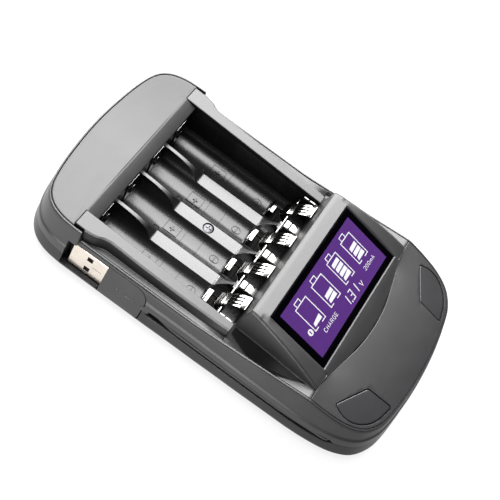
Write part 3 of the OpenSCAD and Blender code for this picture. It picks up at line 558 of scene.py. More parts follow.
# ------------------------------------------------------------------ lower shell
def build_base():
    verts = []
    for i in range(NS):
        g = groove_w(i)
        lip = lerp(8.9, 7.75, g)
        o35 = off(i, 3.5)
        sec = [(off(i, lip) - 0.05, lip, 0.25), (off(i, 5.2) + 0.02, 5.2, 1.5), (o35 - 0.03, 3.7, 1.2), (o35 - 0.55, 2.05, 1.0), (o35 - 1.6, 1.12, 1.0),
               (o35 - 3.3, 0.8, 0.8), (o35 - 6.0, 0.8, 0.2), (o35 - 6.0, 2.6, 0.2), (o35 - 3.4, 2.9, 0.6), (o35 - 2.1, 4.6, 0.8), (off(i, 7.75) - 2, lip, 0.2)]
        for d, z in fillet(sec, 3):
            verts.append(wp(i, d, z))
    m = len(verts) // NS
    ob = mesh_obj("base_shell_body", verts, grid_faces(NS, m, True, True), "base", None, 40)
    # floor plate with its air slots
    pl = [(BO[i] - NR[i] * 5.0) for i in range(NS)]
    v = [(p[0], p[1], 0.8) for p in pl] + [(p[0], p[1], 2.6) for p in pl]
    f = [tuple(range(NS)), tuple(range(2 * NS - 1, NS - 1, -1))] + [(i, (i + 1) % NS, NS + (i + 1) % NS, NS + i) for i in range(NS)]
    fl = mesh_obj("base_floor", v, f, "base", None, 40, merge=0.0001)
    cuts = []
    for k in range(13):
        x = -24 + 4 * k
        cuts.append(slot_cutter(x, 37, 1.6, 22, 0.0, 4.0))
    for x, y in ((-28, 62), (28, 62), (-36.6, -50.6), (36.6, -50.6)):
        cuts.append(cyl_obj("c", x, y, -0.5, 2.4, 2.4, 40))
    for x in (-33, 33):
        for y in (-68, 70):
            cuts.append(cyl_obj("c", x, y, -0.5, 1.2, 4.6, 48))
    cut(fl, [join(cuts, "cuts")])
    shade(fl, 30)
    return ob, fl


def slot_cutter(x, y, w, l, z0, z1):
    n = 8
    pts = []
    for s in (1, -1):
        for k in range(n + 1):
            a = math.pi * k / n
            pts.append((x + s * math.cos(a) * w / 2, y + s * (l / 2 - w / 2) + s * math.sin(a) * w / 2))
    return prism("slot", pts, z0, z1)


def prism(name, pts, z0, z1, mat="gap"):
    n = len(pts)
    area = sum(pts[i][0] * pts[(i + 1) % n][1] - pts[(i + 1) % n][0] * pts[i][1] for i in range(n))
    if area < 0:
        pts = pts[::-1]
    v = [(p[0], p[1], z0) for p in pts] + [(p[0], p[1], z1) for p in pts]
    f = [tuple(range(n - 1, -1, -1)), tuple(range(n, 2 * n))] + [(i, (i + 1) % n, n + (i + 1) % n, n + i) for i in range(n)]
    return mesh_obj(name, v, f, mat, None)


def cyl_obj(name, x, y, z0, z1, r, n=32, mat="gap"):
    return prism(name, [(x + r * math.cos(2 * math.pi * k / n), y + r * math.sin(2 * math.pi * k / n)) for k in range(n)], z0, z1, mat)


def join(obs, name):
    bm = bmesh.new()
    for o in obs:
        tmp = o.data.copy()
        tmp.transform(o.matrix_world)
        bm.from_mesh(tmp)
        bpy.data.meshes.remove(tmp)
    me = bpy.data.meshes.new(name)
    bm.to_mesh(me)
    bm.free()
    for s in obs[0].data.materials:
        me.materials.append(s)
    ob = bpy.data.objects.new(name, me)
    scene.collection.objects.link(ob)
    for o in obs:
        d = o.data
        bpy.data.objects.remove(o)
        bpy.data.meshes.remove(d)
    return ob


def finish_piece(ob, name, body, mat=None, replaces=(), smooth=32.0):
    ob.name = name
    ob.data.name = name
    if mat:
        ob.data.materials.clear()
        ob.data.materials.append(M[mat])
    shade(ob, smooth)
    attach(ob, body)
    if replaces:
        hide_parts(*replaces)
    return ob


# ------------------------------------------------------------------ plug frame and pocket
PT = math.radians(10.4)


def plug_pt(x, y, z):
    # body coordinates of a point of the plug's own frame
    c, s = math.cos(PT), math.sin(PT)
    return (-43.0 + x * c + z * s, y, 10.3 - x * s + z * c)


def box_in(fn, x0, x1, y0, y1, z0, z1, name="box", mat="gap"):
    c = [(x0, y0, z0), (x1, y0, z0), (x1, y1, z0), (x0, y1, z0), (x0, y0, z1), (x1, y0, z1), (x1, y1, z1), (x0, y1, z1)]
    v = [fn(*p) for p in c]
    f = [(3, 2, 1, 0), (4, 5, 6, 7), (0, 1, 5, 4), (1, 2, 6, 5), (2, 3, 7, 6), (3, 0, 4, 7)]
    return mesh_obj(name, v, f, mat, None)


def ident(x, y, z):
    return (x, y, z)


def grip_profile(g):
    """Side view of the plug's grip as (y, z) points, from the metal end round the rounded end."""
    corners = [(40.25 + g, 2.6 - g * 0.4, 0.5), (40.25 + g, 17.1 + g, 0.5), (22.1 - g, 17.1 + g, 5.2 + g), (22.1 - g, 3.0 - g * 0.4, 1.6)]
    return [tuple(p) for p in fillet(corners, 10)]


def left_wall_x(z):
    """|x| of the smooth left wall at height z, beside the plug."""
    return 41.4 + (46.1 - 41.4) * (18.9 - z) / (18.9 - 3.5)


def grip_solid(name, g, x_in, out, mat):
    prof = grip_profile(g)
    n = len(prof)
    cy, cz = 31.7, 9.8
    rings = [1.0, 0.985, 0.95, 0.85, 0.6, 0.3]
    v, f = [], []
    # inner face
    v += [(-x_in, y, z) for y, z in prof]
    base = n
    for k, s in enumerate(rings):
        for y, z in prof:
            yy, zz = cy + (y - cy) * s, cz + (z - cz) * s
            x = min(left_wall_x(max(zz, 3.5)), 46.1) + out
            if zz < 4.2:
                x = x - (4.2 - zz) ** 2 * 0.12
            if k == 0:
                x -= 0.35 if out < 1 else 0
            v.append((-x, yy, zz))
    f.append(tuple(range(n)))
    for k in range(len(rings)):
        for i in range(n):
            a, b = k * n + i, k * n + (i + 1) % n
            f.append((a, a + n, b + n, b))
    f.append(tuple(len(rings) * n + i for i in range(n - 1, -1, -1)))
    return mesh_obj(name, v, f, mat, None, 35, merge=0.0001)


def pocket_cutters():
    return [grip_solid("pocket_a", 0.35, 37.9, 3.0, "gap"), box_in(plug_pt, -9, 5.2, 40.5, 57.5, -6.6, 6.7, "pocket_b")]


# ------------------------------------------------------------------ side case
def build_case():
    verts = []
    for i in range(NS):
        x, y = TO[i]
        g = groove_w(i)
        zt = ZE[i]
        zb = lerp(9.1, 10.35, g)
        tall = zt - 18.9
        sec = [(-0.65, zt - 0.12, 0.06), (-0.52, zt + 0.02, 0.06), (0.02, zt - 0.11, 0.07), (-0.02, zt - 0.42, 0.04), (-0.14, zt - 0.56, 0.04), (0.1, zt - 0.68, 0.06),
               (off(i, zt - 1.6) + 0.08, zt - 1.6, 0.5), (off(i, 14.0) + 0.03, 14.0, 0.9), (off(i, 13.15) + 0.5, 13.15, 0.3), (off(i, 12.6) + 0.5, 12.6, 0.6),
               (off(i, 10.6) + 0.3, max(10.6, zb + 0.5), 0.6), (off(i, zb) + 0.12, zb, 0.16), (off(i, zb) - 1.9, zb, 0.1), (off(i, 13.6) - 1.9, 13.6, 0.4),
               (-0.8, min(16, zt - 3.4), 0.2)]
        for d, z in fillet(sec, 3):
            verts.append(wp(i, d, z))
    m = len(verts) // NS
    ob = mesh_obj("side_case_body", verts, grid_faces(NS, m, True, True), "side", None, 38)
    return ob


base_a, base_b = build_base()
case = build_case()
for part in (base_a, case):
    cut(part, pocket_cutters())
liner = box_in(ident, -41.6, -36.2, 20.0, 59.2, 3.0, 18.3, "liner")
cut(liner, pocket_cutters())
finish_piece(liner, "plug_pocket_liner", "case", "base")
finish_piece(base_a, "base_shell_wall", "case", "base", ("base_shell",), 40)
finish_piece(base_b, "base_shell_floor", "case", "base", (), 30)
finish_piece(case, "side_case_wall", "case", "side", ("side_case",), 38)

# ------------------------------------------------------------------ interpolation helpers
def pchip(xk, yk, x):
    """Monotone cubic through (xk, yk)."""
    xk, yk = np.asarray(xk, float), np.asarray(yk, float)
    o = np.argsort(xk)
    xk, yk = xk[o], yk[o]
    h = np.diff(xk)
    d = np.diff(yk) / h
    m = np.zeros(len(xk))
    for i in range(1, len(xk) - 1):
        if d[i - 1] * d[i] > 0:
            w1, w2 = 2 * h[i] + h[i - 1], h[i] + 2 * h[i - 1]
            m[i] = (w1 + w2) / (w1 / d[i - 1] + w2 / d[i])
    m[0], m[-1] = d[0], d[-1]
    k = int(np.clip(np.searchsorted(xk, x) - 1, 0, len(h) - 1))
    t = (x - xk[k]) / h[k]
    if x < xk[0]:
        return yk[0] + m[0] * (x - xk[0])
    if x > xk[-1]:
        return yk[-1] + m[-1] * (x - xk[-1])
    return float(yk[k] * (2 * t ** 3 - 3 * t ** 2 + 1) + yk[k + 1] * (-2 * t ** 3 + 3 * t ** 2) + h[k] * (m[k] * (t ** 3 - 2 * t ** 2 + t) + m[k + 1] * (t ** 3 - t ** 2)))


def crom(P, n=6, closed=False):
    """Catmull-Rom curve through the points of P."""
    P = [np.array(p, float) for p in P]
    N = len(P)
    out = []
    for i in range(N if closed else N - 1):
        a = P[(i - 1) % N] if closed or i > 0 else 2 * P[0] - P[1]
        b, c = P[i], P[(i + 1) % N]
        d = P[(i + 2) % N] if closed or i + 2 < N else 2 * P[-1] - P[-2]
        for k in range(n):
            t = k / n
            out.append(0.5 * (2 * b + (c - a) * t + (2 * a - 5 * b + 4 * c - d) * t * t + (3 * b - a - 3 * c + d) * t ** 3))
    if not closed:
        out.append(P[-1])
    return out


def loft(name, rows, mat, smooth=35.0, caps=True, closed=True):
    """Tube from rows of equal length; every row is a closed polygon."""
    n, m = len(rows), len(rows[0])
    v = [p for r in rows for p in r]
    f = grid_faces(n, m, False, closed)
    if caps:
        f.append(tuple(range(m - 1, -1, -1)))
        f.append(tuple((n - 1) * m + k for k in range(m)))
    ob = mesh_obj(name, v, f, mat, None, smooth)
    bm = bmesh.new()
    bm.from_mesh(ob.data)
    bmesh.ops.remove_doubles(bm, verts=bm.verts, dist=0.002 * MM)
    bmesh.ops.recalc_face_normals(bm, faces=bm.faces)
    bm.to_mesh(ob.data)
    bm.free()
    shade(ob, smooth)
    return ob


def mirrored(ob, name):
    me = ob.data.copy()
    me.transform(Matrix.Scale(-1, 4, (1, 0, 0)))
    me.flip_normals()
    o = bpy.data.objects.new(name, me)
    scene.collection.objects.link(o)
    return o


# ------------------------------------------------------------------ rails, ledges, display housing
XL = 41.4 - 0.65 - 0.17
RS = np.array([[58.2, 39.4, 39.7, 22.9, 21.8], [54.35, 39.4, 39.7, 22.9, 21.8], [54, 39.3, 40.2, 18.6, 17.9], [52, 39, 40.2, 18.3, 18.4],
               [50.5, 38.7, 40, 18.4, 18.65], [49, 38.3, 39.7, 18.55, 18.75], [47.5, 37.5, 39.1, 18.62, 18.75], [46, 37, 38.5, 18.65, 18.75],
               [44, 36.7, 38.15, 18.65, 18.75], [30, 36.8, 38.4, 18.65, 18.75], [14, 36.6, 38.5, 18.65, 18.75], [3, 36.2, 38.5, 18.65, 18.75],
               [-4, 36, 38.4, 18.6, 19.5], [-7.9, 35.7, 38.4, 18.2, 19.93]])
HS = np.array([[-10.1, -8.2, 31.8, 33.9, 34.2, 33.3, 21, 38.4, 17.9], [-12, -12, 32.1, 34.1, 34.6, 33.5, 21.2, 38.9, 18.2],
               [-16.4, -16.4, 32.7, 33.7, 34.6, 34, 21.8, 39.4, 18.8], [-21, -21, 33.4, 32.5, 33.3, 34.5, 22.3, 39.5, 19.4],
               [-26, -26, 34.1, 31.1, 31.9, 35, 22.7, 39.4, 20], [-32, -32, 34.9, 29.3, 30.1, 35.7, 23.3, 38.9, 20.8],
               [-38, -38, 35.8, 27.4, 28.4, 36.3, 23.8, 37.9, 22], [-42, -42, 36.4, 26, 27.1, 36.7, 24.2, 37.1, 23.2],
               [-46.4, -46.4, 37, 24.6, 25.8, 37.1, 24.2, 37.4, 24]])
FRONT = [(0, -51.25), (6, -51), (12, -50.2), (18.5, -48.75), (24, -47.5), (29, -46.35), (34, -45.35), (37.2, -45.3), (41, -45.35)]


def front_y(x):
    return pchip([p[0] for p in FRONT], [p[1] for p in FRONT], abs(x))


def z_rim(y):
    return 25 - 0.06 * (58.5 - y)


def z_disp(y):
    return 26.68 + 0.2936 * (y + 43.33)


def zl(y):
    return 18.9 + 0.1174 * (3 - min(y, 3)) - 0.12


def build_rail():
    ys = list(np.arange(58.2, 54.55, -0.6)) + list(np.arange(54.5, 53.7, -0.08)) + list(np.arange(53.6, 43.5, -0.4)) + list(np.arange(43, -7.8, -1.6)) + [-8.0]
    rows = []
    for y in ys:
        r1, r2, r3, r4 = (pchip(RS[:, 0], RS[:, k], y) for k in (1, 2, 3, 4))
        z = z_rim(y)
        q = min(1.0, max(0.0, (z - r3) / 4.0))
        cx = lerp(r1, r2, 0.30)
        sec = [(32.75, z, 0.4), (r1 - 0.12, z - 0.02, 0.12), (min(r1 + 0.8, r2 - 0.12), z - 0.28 * q - 0.03, 0.14), (r2, r3, 0.12), (XL, r4, 0.16), (XL, r4 - 1, 0.02),
               (r2 - 0.8, r3 - 1.25, 0.1), (r1 - 1.6, z - 2.1, 0.2), (32.75, z - 2.1, 0.1)]
        rows.append([(p[0], y, p[1]) for p in fillet(sec, 4)])
    return loft("rail", rows, "frame", 34)


rail_r = build_rail()
rail_l = mirrored(rail_r, "rail_l")


def yrear(z):
    return -8.2 - (z - 21) * 0.1473


def housing_section(Y, d):
    """Outline of the housing across the body at y = Y, its top lowered by d, as (x, z) points."""
    h = [0, 0] + [pchip(HS[:, 0], HS[:, k], Y) for k in range(2, 9)]
    crown = h[4]
    if Y < -17.5:
        crown = z_disp(Y)
    top_x, top_z = h[2] - d * 0.9, min(h[3], crown - 0.35) - d
    if Y < -46.4:
        top_z = crown - 1.1
    foot_z = min(h[6], top_z - 0.4)
    wall_z = min(h[8], foot_z - 0.15)
    zo = zl(Y)
    wall_z = lerp(wall_z, zo - 0.25, sstep(21, 33, -Y))
    top_z = max(top_z, crown - 0.5 - d)
    bend = 0.0
    if -45.5 < Y < -14:
        g = -14 - Y
        bend = 34.45 - 0.11 * g - 0.0055 * g * g - crown
    half = [(XL, zo, 0.16), (h[7], wall_z, 0.2), (h[5], foot_z, 0.3), (top_x, top_z - 0.39 + bend, 0.08), (top_x - 0.3, top_z + bend, 0.08), (top_x - 1.0, top_z + 0.32 + bend, 0.4),
            (30.0 - d * 0.5, crown - d - 0.02 + bend * 0.5, 1.0), (28.95 - d * 0.5, crown - d, 0.6)]
    low = [(-XL, zo - 1.3, 0.02), (-34, 17.2, 0.02), (34, 17.2, 0.02), (XL, zo - 1.3, 0.02)]
    n = 4
    pts = fillet(half + [(-x, z, r) for x, z, r in half[::-1]] + low, n)
    k = 8 * (n + 3)
    a, b = pts[k - 1], pts[k]
    return pts[:k] + [a + (b - a) * w for w in (0.06, 0.2, 0.4, 0.6, 0.8, 0.94)] + pts[k:]


def build_housing():
    R = 0.5
    rows = []
    tops = [(-10.1 - R * (1 - math.cos(math.radians(a))), R * (1 - math.sin(math.radians(a)))) for a in (0, 18, 36, 54, 72, 90)]
    tops += [(y, 0.0) for y in list(np.arange(-11.6, -16.2, -0.6)) + [-16.2, -16.6, -17.2] + list(np.arange(-18, -43.9, -1.2))]
    for Y, d in tops:
        w = min(1.0, max(0.0, (-10.1 - Y) / 1.9))
        row = []
        for x, z in housing_section(Y, d):
            y = yrear(z) * (1 - w) + Y * w
            if d and Y > -11.2:
                y = yrear(z) - (-10.1 - Y)
            row.append((x, y, z))
        rows.append(row)
    for t in (0.15, 0.3, 0.45, 0.6, 0.75, 0.9, 1.0):
        base_row = housing_section(-44.0 - 6.5 * t, 0.0)
        row = []
        for k, (x, _) in enumerate(base_row):
            y = lerp(-44.0, front_y(x) + 0.2, t)
            q = housing_section(y, 0.0)[k]
            row.append((q[0], y, q[1] - 0.95 * t ** 1.8 * (1 - 0.8 * sstep(24, 37, abs(x)))))
        rows.append(row)
    ob = loft("housing", rows, "frame", 30)
    pts = [(-11.6, 12), (-11.6, 31.4), (-17, 31.7), (-44.5, z_disp(-44.5) - 2.7), (-44.5, 12)]
    inner = mesh_obj("inner", [(-29.6, y, z) for y, z in pts] + [(29.6, y, z) for y, z in pts],
                     [(0, 1, 2, 3, 4), (9, 8, 7, 6, 5)] + [(i, 5 + i, 5 + (i + 1) % 5, (i + 1) % 5) for i in range(5)], "top", None, merge=0.0001)
    seat = box_in(win_pt, -28.95, 28.95, -13.8, 13.8, -1.74, 6, "seat")
    hole = box_in(win_pt, -27.2, 27.2, -12, 12, -9, 2, "hole")
    # small chamfer round the recess
    c0, c1 = (28.9, 13.76), (29.8, 14.66)
    v = [win_pt(sx * c0[0], sy * c0[1], -0.46) for sx, sy in ((-1, -1), (1, -1), (1, 1), (-1, 1))] + [win_pt(sx * c1[0], sy * c1[1], 0.44) for sx, sy in ((-1, -1), (1, -1), (1, 1), (-1, 1))]
    cham = mesh_obj("cham", v, [(3, 2, 1, 0), (4, 5, 6, 7), (0, 1, 5, 4), (1, 2, 6, 5), (2, 3, 7, 6), (3, 0, 4, 7)], "top", None)
    cut(ob, [inner])
    cut(ob, [hole])
    cut(ob, [seat])
    cut(ob, [cham])
    bevel(ob, 0.1, 2, 62)
    shade(ob, 30)
    return ob


WT = math.radians(16.36)


def win_pt(x, y, z):
    c, s = math.cos(WT), math.sin(WT)
    return (x, -30.06 + y * c - z * s, 30.575 + y * s + z * c)


housing = build_housing()
finish_piece(join([rail_r, rail_l, housing], "top_frame_body"), "top_frame_body", "case", "frame", ("top_frame",), 30)


# ------------------------------------------------------------------ covers
def poly_normals(P):
    P = np.asarray(P, float)
    n = len(P)
    area = 0.5 * sum(P[i][0] * P[(i + 1) % n][1] - P[(i + 1) % n][0] * P[i][1] for i in range(n))
    if area < 0:
        P = P[::-1]
    a, b = np.roll(P, 1, 0), np.roll(P, -1, 0)
    e1 = (P - a) / np.linalg.norm(P - a, axis=1)[:, None]
    e2 = (b - P) / np.linalg.norm(b - P, axis=1)[:, None]
    n1 = np.stack([e1[:, 1], -e1[:, 0]], 1)
    n2 = np.stack([e2[:, 1], -e2[:, 0]], 1)
    nn = n1 + n2
    nn /= np.linalg.norm(nn, axis=1)[:, None]
    k = 1.0 / np.clip((nn * n1).sum(1), 0.5, 1)
    return P, nn * k[:, None]


def star_plate(name, outline, center, zf, thick, r, mat, n=5, rings=(0.97, 0.9, 0.8, 0.68, 0.55, 0.42, 0.28, 0.14), flat_bottom=None):
    P, N = poly_normals(outline)
    m = len(P)
    C = np.array(center, float)
    lay = [(0.0, -thick, 1.0)] + [(r * (1 - math.cos(math.radians(a))), -r * (1 - math.sin(math.radians(a))), 1.0) for a in np.linspace(0, 90, n + 1)]
    lay += [(r, 0.0, s) for s in rings]
    v = []
    for d, dz, s in lay:
        for p, q in zip(P, N):
            w = C + (p - q * d - C) * s
            v.append((w[0], w[1], zf(w[0], w[1]) + dz if not (flat_bottom is not None and dz == -thick) else flat_bottom))
    v.append((C[0], C[1], zf(*C)))
    f = grid_faces(len(lay), m, False, True)
    top = (len(lay) - 1) * m
    f += [(top + i, top + (i + 1) % m, len(v) - 1) for i in range(m)]
    f.append(tuple(range(m)))
    ob = mesh_obj(name, v, f, mat, None, 35)
    bm = bmesh.new()
    bm.from_mesh(ob.data)
    bmesh.ops.recalc_face_normals(bm, faces=bm.faces)
    bm.to_mesh(ob.data)
    bm.free()
    shade(ob, 35)
    return ob


def inset_curve(d, keep):
    Q = TO - NR * d
    return [tuple(q) for q in Q if keep(q)]


def densify(P, step):
    out = []
    n = len(P)
    for i in range(n):
        a, b = np.array(P[i], float), np.array(P[(i + 1) % n], float)
        k = max(1, int(math.ceil(np.linalg.norm(b - a) / step)))
        for j in range(k):
            out.append(tuple(a + (b - a) * j / k))
    return out


def round_corners(P, R, idx):
    """Round the listed corners of a closed polygon; neighbours nearer than the radius are dropped."""
    P = [np.array(p, float) for p in P]
    n = len(P)
    R = list(R) if isinstance(R, (list, tuple)) else [R] * len(idx)

    def walk(i, step, dist):
        j, left = i, dist
        while True:
            k = (j + step) % n
            L = float(np.linalg.norm(P[k] - P[j]))
            if L >= left:
                return P[j] + (P[k] - P[j]) * left / L, k
            left -= L
            j = k

    cut_, fill = set(), {}
    for i, r in zip(idx, R):
        a, ka = walk(i, -1, r)
        b, kb = walk(i, 1, r)
        j = (ka + 1) % n
        while j != kb:
            cut_.add(j)
            j = (j + 1) % n
        fill[i] = [tuple((1 - w) ** 2 * a + 2 * w * (1 - w) * P[i] + w * w * b) for w in (0, 0.2, 0.4, 0.6, 0.8, 1)]
    out = []
    for i in range(n):
        if i in fill:
            out += fill[i]
        elif i not in cut_:
            out.append(tuple(P[i]))
    return out


rear = sorted(inset_curve(0.83, lambda q: q[1] > 58.4), key=lambda q: math.atan2(q[1] - 58.36, q[0]))
x_end = 40.55
rear_line = [(-x_end, 58.36)] + [(x, 58.36) for x in np.linspace(-38, 38, 39)] + [(x_end, 58.36)]
rear_out = rear_line + rear
cover_r = star_plate("rear_cover_top", rear_out, (0, 67.5), z_cap, 2.1, 0.45, "top")
lip_pts = [(58.7, 24.82), (58.2, 24.80), (57.7, 24.62), (53.9, 23.2), (53.55, 22.95), (53.55, 21.6), (58.7, 22.6)]
lip = loft("bay_lip", [[(x, y, z) for y, z in lip_pts] for x in (-32.72, -32.6, 32.6, 32.72)], "top", 25)
finish_piece(join([cover_r, lip], "rear_cover_body"), "rear_cover_body", "case", "cap", ("rear_cover",), 30)

frs = [q for q in inset_curve(0.83, lambda q: q[1] < -45.5)]
frs = sorted(frs, key=lambda q: math.atan2(q[1] + 45.4, q[0]))
f_line = [(x, front_y(x)) for x in np.linspace(40.5, -40.5, 81)]
front_out = frs + f_line
cover_f = star_plate("front_cover_top", front_out, (0, -62), z_cover, 2.1, 0.16, "top", rings=(0.98, 0.94, 0.88, 0.8, 0.7, 0.6, 0.5, 0.4, 0.3, 0.2, 0.1))
arc = crom([(35.6, -54), (37.2, -58.5), (36.6, -63.2), (33.6, -67.6), (29, -70.6), (21.6, -72.6)], 6)
key_poly = [(22.4, -61.4)] + [tuple(p) for p in arc]
key_poly = round_corners(key_poly, [1.0, 1.0, 1.2], [0, 1, len(key_poly) - 1])


def offset_poly(P, d):
    Q, N = poly_normals(P)
    return [tuple(q + n * d) for q, n in zip(Q, N)]


hole_r = prism("hole_r", offset_poly(key_poly, 0.3), 10, 30)
hole_l = prism("hole_l", [(-x, y) for x, y in offset_poly(key_poly, 0.3)], 10, 30)
cut(cover_f, [hole_r, hole_l])
bevel(cover_f, 0.07, 2, 60)
finish_piece(cover_f, "front_cover_body", "case", "top", ("front_cover",), 30)
for sx, side in ((1, "right"), (-1, "left")):
    kp = densify([(sx * x, y) for x, y in key_poly], 0.8)
    k = star_plate("key_" + side, kp, (sx * 29.8, -63.2), lambda x, y: z_cover(x, y) - 0.06, 3.0, 0.4, "key", rings=(0.95, 0.85, 0.7, 0.5, 0.3, 0.15))
    stem = cyl_obj("stem", sx * 29.5, -63, 14.75, 18.2, 1.8, 32, "key")
    finish_piece(join([k, stem], "button_%s_body" % side), "button_%s_body" % side, "key_" + side, "key", ("button_" + side,), 32)


# ------------------------------------------------------------------ battery tray
PITCH, CR, CZ = 16.5, 7.5, 14.5


def z_div(y):
    ramp = 9.5 + max(0.0, (6.9 - y)) * 0.985
    k = [(34, 9.5), (36.0, 9.6), (37.5, 10.5), (39.5, 11.8), (42, 12.75), (45.5, 13.55), (49.5, 14.1), (54, 14.4)]
    back = pchip([p[0] for p in k], [p[1] for p in k], y) if y > 34 else 9.5
    if y < 20:
        return min(16.4, 9.5 + (math.sqrt((ramp - 9.5) ** 2 + 0.02) if y < 6.9 else 0.14 * math.exp(-(y - 6.9) * 3)))
    return max(9.5, back)


def arc_half(z):
    return math.sqrt(CR ** 2 - (CZ - min(z, CZ)) ** 2)


def build_tray_floor():
    ys = list(np.arange(-0.15, 8.4, 0.35)) + list(np.arange(9, 34, 1.8)) + list(np.arange(34, 53.95, 0.5)) + [53.95]
    rows = []
    for y in ys:
        zd = z_div(y)
        pts = []
        cs = [-24.75, -8.25, 8.25, 24.75]
        pts.append((-32.8, 9.5))
        for ci, xc in enumerate(cs):
            zL = 9.5 if ci == 0 else zd
            zR = 9.5 if ci == 3 else zd
            wl, wr = arc_half(zL), arc_half(zR)
            aL, aR = math.asin(min(1, wl / CR)), math.asin(min(1, wr / CR))
            fr = 0.28
            # crest corner, left
            capw = (8.25 - wl) if ci else 0
            e = min(fr, max(0.05, capw * 0.45)) if ci else fr
            pts.append((xc - wl - e, zL))
            pts.append((xc - wl - e * 0.42, zL - e * 0.08))
            pts.append((xc - wl - e * 0.06, zL - e * 0.42))
            for a in np.linspace(-aL + 0.035, aR - 0.035, 31):
                zz = CZ - CR * math.cos(a)
                pts.append((xc + CR * math.sin(a), zz))
            capw = (8.25 - wr) if ci < 3 else 0
            e = min(fr, max(0.05, capw * 0.45)) if ci < 3 else fr
            pts.append((xc + wr + e * 0.06, zR - e * 0.42))
            pts.append((xc + wr + e * 0.42, zR - e * 0.08))
            pts.append((xc + wr + e, zR))
        pts.append((32.8, 9.5))
        pts += [(32.8, 4.6), (-32.8, 4.6)]
        rows.append([(x, y, z) for x, z in pts])
    ob = loft("tray_floor", rows, "tray", 30)
    cuts = [box_in(ident, xc - 3.4, xc + 3.4, -2, 8.0, 5.8, 13.2, "rec") for xc in (-24.75, -8.25, 8.25, 24.75)]
    cuts.append(cyl_obj("cb", 0, 21.3, 7.3, 12, 2.36, 48))
    cut(ob, [join(cuts, "recs")])
    shade(ob, 30)
    return ob


def soft_box(name, x0, x1, y0, y1, z0, z1, r=0.25, mat="tray", seg=3):
    b = box_in(ident, x0, x1, y0, y1, z0, z1, name, mat)
    bevel(b, r, seg, 40)
    return b


tray_bits = [build_tray_floor()]
tray_bits.append(box_in(ident, -34.1, 34.1, -11, 0.2, 4.6, 5.8, "tf0", "tray"))
tray_bits.append(soft_box("front_wall", -30.6, 30.6, -11, -8.25, 4.7, 19.4))
for xc in (-16.5, 0, 16.5):
    tray_bits.append(soft_box("post", xc - 1.85, xc + 1.85, -8.3, -1.5, 4.7, 19.2))
    tray_bits.append(soft_box("post_low", xc - 1.85, xc + 1.85, -2.0, 0.3, 4.7, 16.05, 0.2))
for s_ in (-1, 1):
    a, b = sorted((s_ * 31.35, s_ * 32.9))
    tray_bits.append(soft_box("side_post", a, b, -8.3, -1.5, 4.7, 19.2))
# side walls under the rails, back wall
for s_ in (1, -1):
    rows = []
    for y in (-8.0, 10, 30, 53.6, 56):
        zt = min(z_rim(y) - 2.2, 21.0 if y > 53.7 else 99)
        x0, x1 = s_ * 32.75, s_ * 34.1
        rows.append([(x0, y, 4.6), (x1, y, 4.6), (x1, y, zt), (x0, y, zt)])
    tray_bits.append(loft("side_wall", rows, "tray"))
tray_bits.append(box_in(ident, -34.1, 34.1, 53.9, 56, 4.6, 21.3, "back_wall", "tray"))


# raised marks on the channel floors: paths (u along the arc in mm, y)
def on_channel(xc, u, y, h):
    a = u / CR
    rr = CR - h
    return (xc + rr * math.sin(a), y, CZ - rr * math.cos(a))


def mark(xc, path, w=0.3, h=0.14, closed=False):
    w, h = w * 1.15, h * 1.8
    P = [np.array(p, float) for p in path]
    n = len(P)
    verts, faces = [], []
    for i in range(n):
        if closed:
            a, b = P[i - 1], P[(i + 1) % n]
        else:
            a, b = P[max(i - 1, 0)], P[min(i + 1, n - 1)]
        t = (b - a) / np.linalg.norm(b - a)
        q = np.array([-t[1], t[0]])
        if closed or 0 < i < n - 1:
            t1 = (P[i] - (P[i - 1] if closed or i else P[0]))
            t1 = t1 / max(np.linalg.norm(t1), 1e-9)
            q = q / max(0.6, abs(float(np.array([-t1[1], t1[0]]) @ q)))
        for k, (dw, dh) in enumerate(((-0.5, -0.3), (-0.42, h * 0.75), (-0.25, h), (0.25, h), (0.42, h * 0.75), (0.5, -0.3))):
            p = P[i] + q * w * dw
            verts.append(on_channel(xc, p[0], p[1], dh))
    faces = grid_faces(n, 6, closed, False)
    if not closed:
        faces += [tuple(range(6)), tuple((n - 1) * 6 + k for k in range(5, -1, -1))]
    return mesh_obj("mark", verts, faces, "tray", None, 40)


def sub(path, step=0.5, closed=False):
    return densify(path, step) if closed else densify(path, step)[: -max(1, int(math.ceil(np.linalg.norm(np.array(path[0]) - np.array(path[-1])) / step)))] + [path[-1]]


marks = []
